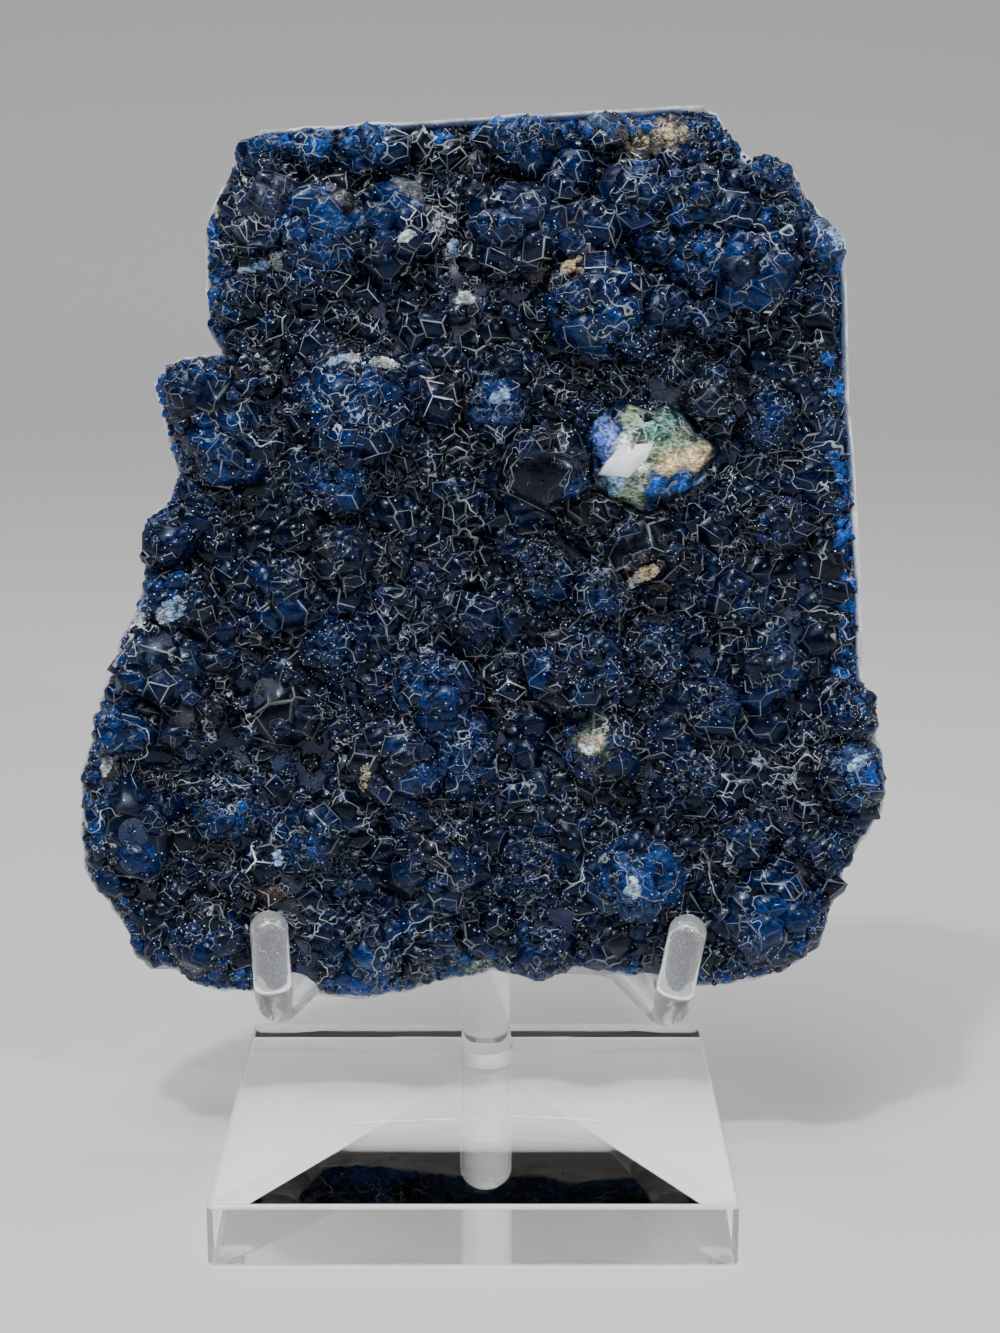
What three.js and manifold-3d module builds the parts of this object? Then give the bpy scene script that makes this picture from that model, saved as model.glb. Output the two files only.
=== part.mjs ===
// Fluorite specimen: a plate of dark blue intergrown crystals resting on a clear acrylic stand.
// Millimetres. The origin is the middle of the base's underside, +Z is up and the front faces -Y.
import * as THREE from 'three';
import { ConvexGeometry } from 'three/addons/geometries/ConvexGeometry.js';
import { mergeVertices } from 'three/addons/utils/BufferGeometryUtils.js';
import Module from 'manifold-3d';

const wasm = await Module();
wasm.setup();

const GAP = 0.3; // clearance between pieces that touch

const BASE = { side: 101.6, thick: 12.7, corner: 1.6, edge: 0.8, arcSteps: 3 };
const POST = { x: 2, y: 35.8, radius: 5.4, top: 138.5, dome: 3.2, socketDepth: 11, sides: 24 };
const ROD = { radius: 3.9, sides: 10, steps: 20, tipRound: 2.4 };

// Corner points of each bent arm: at the post, behind the plate, under the plate's front, tip of the peg.
const LEFT_ARM = {
  points: [[2, 34.5, 35.8], [-31.2, 30, 35.8], [-41.1, -5.5, 35.8], [-41.6, -10.5, 57.8]],
  bends: [10, 6.5],
};
const RIGHT_ARM = {
  points: [[2, 34.5, 35], [30.3, 30, 35], [40.1, -5.5, 35], [43.6, -10.5, 57]],
  bends: [10, 6.5],
};

// The plate leans back. On it u runs to the right, v up its face and w out of its front.
const PLATE = {
  lean: 8, foot: [0, 16, 36], slabBack: 2.4, roots: 3.4, slabFront: 10.5, crust: 13, reach: 40,
};
const FIELD = { left: -90, right: 92, low: -8, high: 186 }; // a rectangle around the plate

// Outline of the plate on u and v: the top and right edges are sawn, the others grew.
const OUTLINE = [
  [-43.5, 176.5], [-48, 174], [-50.5, 169], [-53.5, 162.5], [-56, 157], [-55.5, 149.5], [-55.5, 136],
  [-52.5, 131.5], [-59.5, 130.5], [-63.5, 129.5], [-66.5, 125], [-65, 118.5], [-62, 107], [-63.5, 101.5],
  [-69, 96], [-69, 88.5], [-70, 80.5], [-73, 74], [-75.5, 67], [-78.5, 59], [-80, 52.5], [-83, 43.5],
  [-82.5, 37], [-82.5, 31], [-82, 24.5], [-78.5, 18.5], [-74.5, 12.5], [-72, 5.5], [-69, 3], [-63.5, 3],
  [-59.5, -1], [-53, -2], [-44.5, -2.5], [-33.5, -3], [-21, -3.5], [-11.5, -1.5], [-3, 0.5], [3, 2],
  [10.5, 0], [14.5, 0], [21, 2.5], [30, 1.5], [39.5, -1], [47, -1.5], [56.5, 0], [64.5, 1.5], [70, 6],
  [73.5, 12], [77, 19.5], [77.5, 24], [81, 29.5], [85, 36], [86, 40], [85.5, 46], [84, 51], [84.5, 59.5],
  [80.3, 64], [79.5, 88.5], [78.5, 105], [77, 121.5], [76.5, 138], [76, 154], [73, 158.5], [70, 162],
  [66.5, 167.5], [61.5, 172], [56.5, 171.5], [53.5, 176], [49.5, 180], [46, 181.5],
];

// The saw cut the top and the right edge: this region, larger elsewhere, is what it left.
const SAWN = [
  [-110, -30], [110, -30], [110, 62.5], [80.4, 64], [76.2, 157], [76.2, 200], [56, 181.9], [46, 181.6],
  [-43.5, 176.8], [-110, 172],
];

// Lumps of grown-together crystals: middle on u and v, radius, and how far they stand out of the crust.
const KNOBS = [
  [-21, 173.5, 6, 5], [-44.5, 171, 5, 4], [-33.5, 173, 5, 4], [-42.5, 159, 8, 6], [-30.5, 157, 8.5, 9],
  [-17.5, 156.5, 8, 8], [-49.5, 141.5, 4, 3], [-35.5, 148, 6, 5], [9, 174, 6, 7], [26.5, 176.5, 4, 3],
  [9, 156.5, 8, 9], [18, 165, 5, 5], [22.5, 155.5, 6, 6], [33, 163.5, 6, 7], [43.5, 163, 6.5, 7],
  [50, 160, 5, 6], [41.5, 171, 5, 4], [37, 154, 4.5, 4], [46, 149.5, 6, 7], [56, 147.5, 7.5, 9],
  [61, 156, 4.5, 5], [60, 167, 4.5, 4], [71, 153, 4, 3], [24.5, 141, 10, 10], [32.5, 134.5, 5, 5],
  [39.5, 140.5, 5, 5], [49, 138.5, 5, 4], [7, 127.5, 5, 4], [5, 120.5, 6, 6], [-55, 122.5, 10, 7],
  [-25.5, 120.5, 12, 9], [-9, 121.5, 6.5, 4], [-50.5, 112.5, 9, 6], [-27.5, 104.5, 6, 5],
  [14.5, 107, 8.5, 10], [36, 111.5, 12, 9], [50, 121.5, 7, 7], [-3, 102.5, 5.5, 4], [23.5, 97, 4.5, 4],
  [-63, 92, 5, 4], [-27.5, 89.5, 6, 5], [-39, 82, 7, 5], [13.5, 86.5, 5.5, 5], [25.5, 82.5, 6, 5],
  [35, 91, 8, 7], [53, 80.5, 5.5, 4], [-60.5, 80.5, 6, 4], [-65, 67, 9, 6], [-41, 58.5, 9, 7],
  [-58.5, 55, 8, 6], [-73, 53, 6, 4], [-8.5, 61, 8, 8], [-15.5, 47, 9, 9], [-4, 49.5, 8, 8],
  [-12, 36.5, 6, 5], [21.5, 65.5, 8.5, 8], [37, 70, 6, 5], [61, 65.5, 6, 5], [78, 56.5, 5, 4],
  [25.5, 50.5, 7, 6], [44.5, 43, 5.5, 4], [78, 43.5, 6.5, 6], [-71, 33, 9.5, 6], [34, 23, 8.5, 9],
  [63, 14.5, 10, 7], [-7, 26, 9, 7], [-20, 9.5, 6, 5], [-10.5, 10.5, 6, 5], [-56, 10, 7, 5],
  [14.5, 7, 5, 4], [73, 28, 4.5, 4], [-30, 70, 6, 4], [62, 96, 6, 4], [60, 118, 6, 5], [0, 75, 5, 3],
  [-52, 37, 7, 4], [50, 58, 6, 4], [-33, 30, 7, 4], [55, 30, 6, 4], [12, 25, 6, 4],
];

// Smaller crystals fill what the knobs leave free, and a row of them follows the grown edge.
const FILL = {
  spacing: 17, radius: [8.1, 10.9], spread: 0.8, depth: [4.8, 6.8], clear: 0.8, margin: 2, inset: 6.6,
};
const RIM = { spacing: 13, radius: [4.5, 5.5], inset: 4.6, depth: [8.5, 10] };
const BACK = { spacing: 36, spread: 0.5, radius: 20, height: [1.8, 2.4], middle: 2.8, inset: 9 };
const STRETCH = [0.88, 1.12]; // how far a crystal's sides are stretched or pressed

const clearAcrylic = { color: 0xf2f6f7, roughness: 0.06, metalness: 0, transparent: true, opacity: 0.35 };
const fluorite = { color: 0x0d1b45, roughness: 0.22, metalness: 0 };

// A number between 0 and 1 that depends only on its seed, so that every build is the same.
function makeRandom(seed) {
  let state = seed;
  return () => {
    state = (state * 1664525 + 1013904223) % 4294967296;
    return state / 4294967296;
  };
}

function between(random, [low, high]) {
  return low + (high - low) * random();
}

// Turns a closed geometry into a solid that can be joined and cut.
function solidOf(geometry) {
  const bare = geometry.clone();
  bare.deleteAttribute('normal');
  bare.deleteAttribute('uv');
  const merged = mergeVertices(bare, 1e-4);
  return new wasm.Manifold(new wasm.Mesh({
    numProp: 3,
    vertProperties: new Float32Array(merged.attributes.position.array),
    triVerts: new Uint32Array(merged.index.array),
  }));
}

// Turns a solid back into a geometry with flat facets.
function geometryOf(solid) {
  const { vertProperties, triVerts, numProp } = solid.getMesh();
  const positions = new Float32Array((vertProperties.length / numProp) * 3);
  for (let i = 0; i < positions.length / 3; i += 1) {
    positions.set(vertProperties.subarray(i * numProp, i * numProp + 3), i * 3);
  }
  const geometry = new THREE.BufferGeometry();
  geometry.setAttribute('position', new THREE.BufferAttribute(positions, 3));
  geometry.setIndex(new THREE.BufferAttribute(new Uint32Array(triVerts), 1));
  geometry.computeVertexNormals();
  return geometry;
}

function namedMesh(name, geometry, look) {
  const mesh = new THREE.Mesh(geometry, new THREE.MeshStandardMaterial(look));
  mesh.name = name;
  return mesh;
}

// A round bar standing on z = bottom whose top edge is rounded by a quarter circle.
function roundBar(radius, bottom, top, round, sides) {
  const profile = [new THREE.Vector2(0, bottom), new THREE.Vector2(radius, bottom)];
  const arcSteps = 3;
  for (let i = 0; i <= arcSteps; i += 1) {
    const angle = (i / arcSteps) * (Math.PI / 2);
    const r = radius - round + round * Math.cos(angle);
    profile.push(new THREE.Vector2(r, top - round + round * Math.sin(angle)));
  }
  profile.push(new THREE.Vector2(0, top));
  return new THREE.LatheGeometry(profile, sides).rotateX(Math.PI / 2);
}

// A square with rounded corners, of a half width and a corner radius.
function roundedSquare(half, radius, arcSteps) {
  const points = [];
  for (let corner = 0; corner < 4; corner += 1) {
    const middle = new THREE.Vector2(half - radius, half - radius);
    middle.rotateAround(new THREE.Vector2(), corner * (Math.PI / 2));
    for (let i = 0; i <= arcSteps; i += 1) {
      const angle = (corner + i / arcSteps) * (Math.PI / 2);
      const reach = new THREE.Vector2(radius, 0).rotateAround(new THREE.Vector2(), angle);
      points.push(reach.add(middle));
    }
  }
  return new THREE.Shape(points);
}

// The square base with polished edges and the drilled socket for the post.
function makeBase() {
  const square = roundedSquare(BASE.side / 2 - BASE.edge, BASE.corner, BASE.arcSteps);
  const block = new THREE.ExtrudeGeometry(square, {
    depth: BASE.thick - 2 * BASE.edge,
    curveSegments: BASE.arcSteps,
    bevelEnabled: true,
    bevelThickness: BASE.edge,
    bevelSize: BASE.edge,
    bevelSegments: 2,
  }).translate(0, 0, BASE.edge);
  const floor = BASE.thick - POST.socketDepth;
  const socketRadius = POST.radius + GAP;
  const drill = new THREE.CylinderGeometry(socketRadius, socketRadius, BASE.thick, POST.sides)
    .rotateX(Math.PI / 2)
    .translate(POST.x, POST.y, floor + BASE.thick / 2);
  return geometryOf(solidOf(block).subtract(solidOf(drill)));
}

// A path of straight runs whose inner corners are rounded.
function bentPath(points, bends) {
  const corners = points.map((p) => new THREE.Vector3(...p));
  const path = new THREE.CurvePath();
  let from = corners[0];
  for (let i = 1; i < corners.length - 1; i += 1) {
    const back = corners[i - 1].clone().sub(corners[i]).normalize();
    const on = corners[i + 1].clone().sub(corners[i]).normalize();
    const cut = bends[i - 1] / Math.tan(back.angleTo(on) / 2);
    const into = corners[i].clone().addScaledVector(back, cut);
    const out = corners[i].clone().addScaledVector(on, cut);
    path.add(new THREE.LineCurve3(from, into));
    path.add(new THREE.QuadraticBezierCurve3(into, corners[i], out));
    from = out;
  }
  path.add(new THREE.LineCurve3(from, corners[corners.length - 1]));
  return path;
}

// A bent round rod: a tube along the path and a peg tip with a rounded edge.
function rodSolid({ points, bends }, radius) {
  const section = new THREE.Shape();
  for (let i = 0; i < ROD.sides; i += 1) {
    const angle = (i / ROD.sides) * Math.PI * 2;
    const x = radius * Math.cos(angle);
    const y = radius * Math.sin(angle);
    if (i === 0) section.moveTo(x, y);
    else section.lineTo(x, y);
  }
  section.closePath();

  const tip = new THREE.Vector3(...points[points.length - 1]);
  const bend = new THREE.Vector3(...points[points.length - 2]);
  const up = tip.clone().sub(bend).normalize();
  const tubeEnd = tip.clone().addScaledVector(up, -ROD.tipRound);
  const tubePoints = [...points.slice(0, -1), tubeEnd.toArray()];
  const tube = new THREE.ExtrudeGeometry(section, {
    steps: ROD.steps,
    extrudePath: bentPath(tubePoints, bends),
    bevelEnabled: false,
  });

  const overlap = 1;
  const cap = roundBar(radius, -overlap, ROD.tipRound, ROD.tipRound, ROD.sides);
  cap.applyQuaternion(new THREE.Quaternion().setFromUnitVectors(new THREE.Vector3(0, 0, 1), up));
  cap.translate(tubeEnd.x, tubeEnd.y, tubeEnd.z);
  return solidOf(tube).add(solidOf(cap));
}

// The post stands in its socket, a gap above the socket's floor.
function makePost() {
  const bottom = BASE.thick - POST.socketDepth + GAP;
  return roundBar(POST.radius, bottom, POST.top, POST.dome, POST.sides).translate(POST.x, POST.y, 0);
}

// The solid round bar that an arm leaves free around the post.
function postClearance() {
  const around = roundBar(POST.radius + GAP, 0, POST.top, POST.dome, POST.sides);
  return solidOf(around.translate(POST.x, POST.y, 0));
}

function makeArm(arm) {
  return geometryOf(rodSolid(arm, ROD.radius).subtract(postClearance()));
}

// The two crystal forms: the cube, and the rhombic dodecahedron whose twelve faces lie across its edges.
const cubeCorners = [-1, 1].flatMap((x) => [-1, 1].flatMap((y) => [-1, 1].map((z) => [x, y, z])));
const axisCorners = [-2, 2].flatMap((d) => [[d, 0, 0], [0, d, 0], [0, 0, d]]);

function crystalForm(corners, meanRadius) {
  return { corners: corners.map((p) => new THREE.Vector3(...p)), meanRadius };
}

const CUBE = crystalForm(cubeCorners, 1.4);
const DODECAHEDRON = crystalForm([...cubeCorners, ...axisCorners], 1.66);

// Places a crystal of a radius at u, v, w, stretched a little and turned at random.
function crystalAt(form, random, u, v, w, radius) {
  const stretch = () => (radius / form.meanRadius) * between(random, STRETCH);
  const size = new THREE.Vector3(stretch(), stretch(), stretch());
  const turn = new THREE.Euler(random() * Math.PI, random() * Math.PI, random() * Math.PI);
  const place = new THREE.Matrix4().compose(
    new THREE.Vector3(u, v, w),
    new THREE.Quaternion().setFromEuler(turn),
    size,
  );
  return solidOf(new ConvexGeometry(form.corners).applyMatrix4(place));
}

function inside(outline, u, v) {
  let odd = false;
  for (let i = 0, j = outline.length - 1; i < outline.length; j = i, i += 1) {
    const [ui, vi] = outline[i];
    const [uj, vj] = outline[j];
    if (vi > v !== vj > v && u < ((uj - ui) * (v - vi)) / (vj - vi) + ui) odd = !odd;
  }
  return odd;
}

function distanceToEdge(outline, u, v) {
  let least = Infinity;
  for (let i = 0; i < outline.length; i += 1) {
    const [ua, va] = outline[i];
    const [ub, vb] = outline[(i + 1) % outline.length];
    const along = ((u - ua) * (ub - ua) + (v - va) * (vb - va)) / ((ub - ua) ** 2 + (vb - va) ** 2);
    const t = Math.min(1, Math.max(0, along));
    least = Math.min(least, Math.hypot(u - ua - t * (ub - ua), v - va - t * (vb - va)));
  }
  return least;
}

// Points on a loose triangular net over the plate, each moved a little at random.
function netPoints(random, spacing, spread) {
  const points = [];
  const rowStep = spacing * Math.sin(Math.PI / 3);
  const moved = (value) => value + (random() - 0.5) * spacing * spread;
  for (let row = 0, v = FIELD.low; v < FIELD.high; row += 1, v += rowStep) {
    const start = FIELD.left + (row % 2) * (spacing / 2);
    for (let u = start; u < FIELD.right; u += spacing) points.push([moved(u), moved(v)]);
  }
  return points;
}

// Points at even steps along the outline, moved inward by an inset.
function rimPoints(spacing, inset) {
  const shape = new THREE.Shape(OUTLINE.map(([u, v]) => new THREE.Vector2(u, v)));
  shape.closePath();
  const count = Math.round(shape.getLength() / spacing);
  const points = [];
  for (let i = 0; i < count; i += 1) {
    const at = shape.getPointAt(i / count);
    const along = shape.getTangentAt(i / count);
    const side = inside(OUTLINE, at.x - along.y * inset, at.y + along.x * inset) ? 1 : -1;
    points.push([at.x - side * along.y * inset, at.y + side * along.x * inset]);
  }
  return points;
}

function prism(outline, back, front) {
  const shape = new THREE.Shape(outline.map(([u, v]) => new THREE.Vector2(u, v)));
  return solidOf(new THREE.ExtrudeGeometry(shape, { depth: front - back, bevelEnabled: false })
    .translate(0, 0, back));
}

// The crystals of the plate's front: the knobs, the ground between them and a row along the edge.
function frontCrystals(random) {
  const crystals = KNOBS.map(([u, v, radius, rise]) => (
    crystalAt(DODECAHEDRON, random, u, v, PLATE.crust + rise - radius, radius)
  ));
  for (const [u, v] of netPoints(random, FILL.spacing, FILL.spread)) {
    const free = KNOBS.every(([ku, kv, radius]) => (
      Math.hypot(u - ku, v - kv) > radius * FILL.clear + FILL.margin
    ));
    if (free && inside(OUTLINE, u, v) && distanceToEdge(OUTLINE, u, v) > FILL.inset) {
      const radius = between(random, FILL.radius);
      crystals.push(crystalAt(DODECAHEDRON, random, u, v, between(random, FILL.depth), radius));
    }
  }
  for (const [u, v] of rimPoints(RIM.spacing, RIM.inset)) {
    const radius = between(random, RIM.radius);
    crystals.push(crystalAt(CUBE, random, u, v, between(random, RIM.depth), radius));
  }
  return wasm.Manifold.union(crystals);
}

// The broken back of the matrix: broad flat lumps inside the outline.
function backLumps(random) {
  const lumps = [];
  for (const [u, v] of netPoints(random, BACK.spacing, BACK.spread)) {
    if (!inside(OUTLINE, u, v) || distanceToEdge(OUTLINE, u, v) < BACK.inset) continue;
    const lump = crystalAt(CUBE, random, 0, 0, 0, BACK.radius);
    const height = between(random, BACK.height);
    lumps.push(lump.scale([1, 1, height / BACK.radius]).translate([u, v, BACK.middle]));
  }
  return wasm.Manifold.union(lumps);
}

// The plate: a slab of matrix with its crystals and its back, cut free of the stand around it.
function makePlate(toPlate) {
  const random = makeRandom(11);
  const front = frontCrystals(random).intersect(prism(SAWN, PLATE.roots, PLATE.reach));
  const back = backLumps(random).intersect(prism(OUTLINE, 0, PLATE.slabFront));
  const slab = prism(OUTLINE, PLATE.slabBack, PLATE.slabFront);
  const arms = [LEFT_ARM, RIGHT_ARM].map((arm) => rodSolid(arm, ROD.radius + GAP));
  const stand = wasm.Manifold.union([postClearance(), ...arms]).transform(toPlate.elements);
  const pieces = wasm.Manifold.union([front, slab, back]).subtract(stand).decompose();
  return geometryOf(pieces.sort((a, b) => b.volume() - a.volume())[0]);
}

const specimen = new THREE.Group();
specimen.add(namedMesh('base', makeBase(), clearAcrylic));
specimen.add(namedMesh('post', makePost(), clearAcrylic));
specimen.add(namedMesh('left_arm', makeArm(LEFT_ARM), clearAcrylic));
specimen.add(namedMesh('right_arm', makeArm(RIGHT_ARM), clearAcrylic));

const plateFrame = new THREE.Object3D();
plateFrame.position.set(...PLATE.foot);
plateFrame.rotation.x = THREE.MathUtils.degToRad(90 - PLATE.lean);
plateFrame.updateMatrix();
const plate = namedMesh('fluorite_plate', makePlate(plateFrame.matrix.clone().invert()), fluorite);
plate.position.copy(plateFrame.position);
plate.rotation.copy(plateFrame.rotation);
specimen.add(plate);

export default specimen;
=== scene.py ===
"""Fluorite specimen: a plate of dark blue crystals with sawn edges, leaning on a clear acrylic stand."""

import logging
import math
from dataclasses import dataclass, field, fields
from enum import Enum
from itertools import combinations, product

import bmesh
import bpy
import numpy as np
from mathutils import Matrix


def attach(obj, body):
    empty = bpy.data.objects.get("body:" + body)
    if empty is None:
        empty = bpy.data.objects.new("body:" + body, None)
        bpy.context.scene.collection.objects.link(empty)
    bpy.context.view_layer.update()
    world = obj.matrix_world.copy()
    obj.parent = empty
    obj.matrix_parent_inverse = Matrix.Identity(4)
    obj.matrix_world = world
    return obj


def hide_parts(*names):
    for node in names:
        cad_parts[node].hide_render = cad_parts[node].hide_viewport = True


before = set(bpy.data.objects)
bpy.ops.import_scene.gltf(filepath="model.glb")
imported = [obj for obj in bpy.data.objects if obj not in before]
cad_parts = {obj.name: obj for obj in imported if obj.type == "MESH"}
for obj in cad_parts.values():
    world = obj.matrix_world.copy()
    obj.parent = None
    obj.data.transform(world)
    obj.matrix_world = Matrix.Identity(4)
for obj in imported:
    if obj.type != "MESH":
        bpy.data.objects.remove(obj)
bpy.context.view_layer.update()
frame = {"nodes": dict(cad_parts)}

log = logging.getLogger("fluorite")

MM = 0.001
BODY = "root"
MOST_TRIANGLES = 190_000
SMOKY_SHARE = 0.09

Colour = tuple[float, float, float, float]
Place = tuple[float, float, float]

# Outline of the plate in mm on its own u and v: the top and right edges are sawn, the others grew.
OUTLINE = np.array([
    (-43.5, 176.5), (-48, 174), (-50.5, 169), (-53.5, 162.5), (-56, 157), (-55.5, 149.5), (-55.5, 136),
    (-52.5, 131.5), (-59.5, 130.5), (-63.5, 129.5), (-66.5, 125), (-65, 118.5), (-62, 107),
    (-63.5, 101.5), (-69, 96), (-69, 88.5), (-70, 80.5), (-73, 74), (-75.5, 67), (-78.5, 59),
    (-80, 52.5), (-83, 43.5), (-82.5, 37), (-82.5, 31), (-82, 24.5), (-78.5, 18.5), (-74.5, 12.5),
    (-72, 5.5), (-69, 3), (-63.5, 3), (-59.5, -1), (-53, -2), (-44.5, -2.5), (-33.5, -3), (-21, -3.5),
    (-11.5, -1.5), (-3, 0.5), (3, 2), (10.5, 0), (14.5, 0), (21, 2.5), (30, 1.5), (39.5, -1),
    (47, -1.5), (56.5, 0), (64.5, 1.5), (70, 6), (73.5, 12), (77, 19.5), (77.5, 24), (81, 29.5),
    (85, 36), (86, 40), (85.5, 46), (84, 51), (84.5, 59.5), (80.3, 64), (79.5, 88.5), (78.5, 105),
    (77, 121.5), (76.5, 138), (76, 154), (73, 158.5), (70, 162), (66.5, 167.5), (61.5, 172),
    (56.5, 171.5), (53.5, 176), (49.5, 180), (46, 181.5),
])

# The two saw cuts, each from end to end.
SAW_CUTS = (((-43.5, 176.6), (46.0, 181.6)), ((80.4, 64.0), (76.1, 154.0)))

# Lumps of grown-together crystals: middle on u and v, radius, rise above the crust, and the radius of
# the crystals on them, which is 0 where the lump is smooth.
KNOBS = np.array([
    (-21, 173.5, 6, 5, 2.5), (-44.5, 171, 5, 4, 2), (-33.5, 173, 5, 4, 2.6), (-42.5, 159, 8, 6, 4),
    (-30.5, 157, 8.5, 9, 2.8), (-17.5, 156.5, 8, 8, 4), (-49.5, 141.5, 4, 3, 2), (-35.5, 148, 6, 5, 1.8),
    (9, 174, 6, 7, 5), (26.5, 176.5, 4, 3, 3.4), (9, 156.5, 8, 9, 4.5), (18, 165, 5, 5, 3),
    (22.5, 155.5, 6, 6, 4.5), (33, 163.5, 6, 7, 4), (43.5, 163, 6.5, 7, 3), (50, 160, 5, 6, 3),
    (41.5, 171, 5, 4, 2.5), (37, 154, 4.5, 4, 2.5), (46, 149.5, 6, 7, 3), (56, 147.5, 7.5, 9, 3.5),
    (61, 156, 4.5, 5, 2.5), (60, 167, 4.5, 4, 2.5), (71, 153, 4, 3, 2), (24.5, 141, 10, 10, 4.8),
    (32.5, 134.5, 5, 5, 3), (39.5, 140.5, 5, 5, 3), (49, 138.5, 5, 4, 2.5), (7, 127.5, 5, 4, 2.5),
    (5, 120.5, 6, 6, 1.3), (-55, 122.5, 10, 7, 0), (-25.5, 120.5, 12, 9, 4.2), (-9, 121.5, 6.5, 4, 0),
    (-50.5, 112.5, 9, 6, 3.6), (-27.5, 104.5, 6, 5, 1.4), (14.5, 107, 8.5, 10, 0), (35.3, 110, 10, 6, 0),
    (50, 121.5, 7, 7, 0), (-3, 102.5, 5.5, 4, 2), (23.5, 97, 4.5, 4, 4), (-63, 92, 5, 4, 0),
    (-27.5, 89.5, 6, 5, 4), (-39, 82, 7, 5, 3.6), (13.5, 86.5, 5.5, 5, 1.4), (25.5, 82.5, 6, 5, 2),
    (35, 91, 8, 7, 0), (53, 80.5, 5.5, 4, 2), (-60.5, 80.5, 6, 4, 2), (-65, 67, 9, 6, 0),
    (-41, 58.5, 9, 7, 0), (-58.5, 55, 8, 6, 0), (-73, 53, 6, 4, 0), (-8.5, 61, 8, 8, 2.5),
    (-15.5, 47, 9, 9, 4.5), (-4, 49.5, 8, 8, 2.2), (-12, 36.5, 6, 5, 3), (21.5, 65.5, 8.5, 8, 3.6),
    (37, 70, 6, 5, 3), (61, 65.5, 6, 5, 3.6), (78, 56.5, 5, 4, 2), (25.5, 50.5, 7, 6, 2),
    (44.5, 43, 5.5, 4, 1.5), (78, 43.5, 6.5, 6, 1.4), (-71, 33, 9.5, 6, 0), (34, 23, 8.5, 9, 2.2),
    (63, 14.5, 10, 7, 3.6), (-7, 26, 9, 7, 3.4), (-20, 9.5, 6, 5, 2.2), (-10.5, 10.5, 6, 5, 2.2),
    (-56, 10, 7, 5, 3), (14.5, 7, 5, 4, 2), (73, 28, 4.5, 4, 2), (-30, 70, 6, 4, 2), (62, 96, 6, 4, 1.8),
    (60, 118, 6, 5, 2.2), (0, 75, 5, 3, 1.5), (-52, 37, 7, 4, 1.4), (50, 58, 6, 4, 1.5),
    (-33, 30, 7, 4, 1.4), (55, 30, 6, 4, 2), (12, 25, 6, 4, 1.5),
])
BROKEN = (35.3, 110.0)


class Tone(Enum):
    """Colours of the crystals and their matrix, in linear light; some of them also paint sheen and glow."""

    NAVY = (0.0016, 0.0048, 0.0230)
    ROYAL = (0.0028, 0.0260, 0.1500)
    # AZURE also paints a glow of light through the crystals, at the rim and in the azure spots
    AZURE = (0.0070, 0.0800, 0.3700)
    SMOKE = (0.0140, 0.0125, 0.0140)
    # painted sheen: the grey-lavender reflection of the light from above on the tops of knobs
    LAVENDER_SHEEN = (0.0500, 0.0550, 0.0950)
    PERIWINKLE = (0.1300, 0.2300, 0.7200)
    SKY = (0.3000, 0.5200, 0.8800)
    LICHEN = (0.2300, 0.3100, 0.2000)
    DRUSE = (0.230, 0.260, 0.290)
    CREAM = (0.560, 0.440, 0.240)
    GREEN = (0.060, 0.170, 0.130)
    WHITE = (0.780, 0.830, 0.880)

    @property
    def rgb(self) -> np.ndarray:
        """The colour as an array of three."""
        return np.array(self.value)


@dataclass(frozen=True)
class Spot:
    """A patch of the plate whose crystals have a colour of their own, in mm on u and v."""

    u: float
    v: float
    radius: float
    tone: Tone
    strength: float = 0.8


def spots_of(tone: Tone, places: tuple[tuple[float, ...], ...]) -> list[Spot]:
    """Spots of one tone, each from its u, v, radius and, where it isn't the usual one, its strength."""
    return [Spot(u, v, radius, tone, *strength) for u, v, radius, *strength in places]


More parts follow.
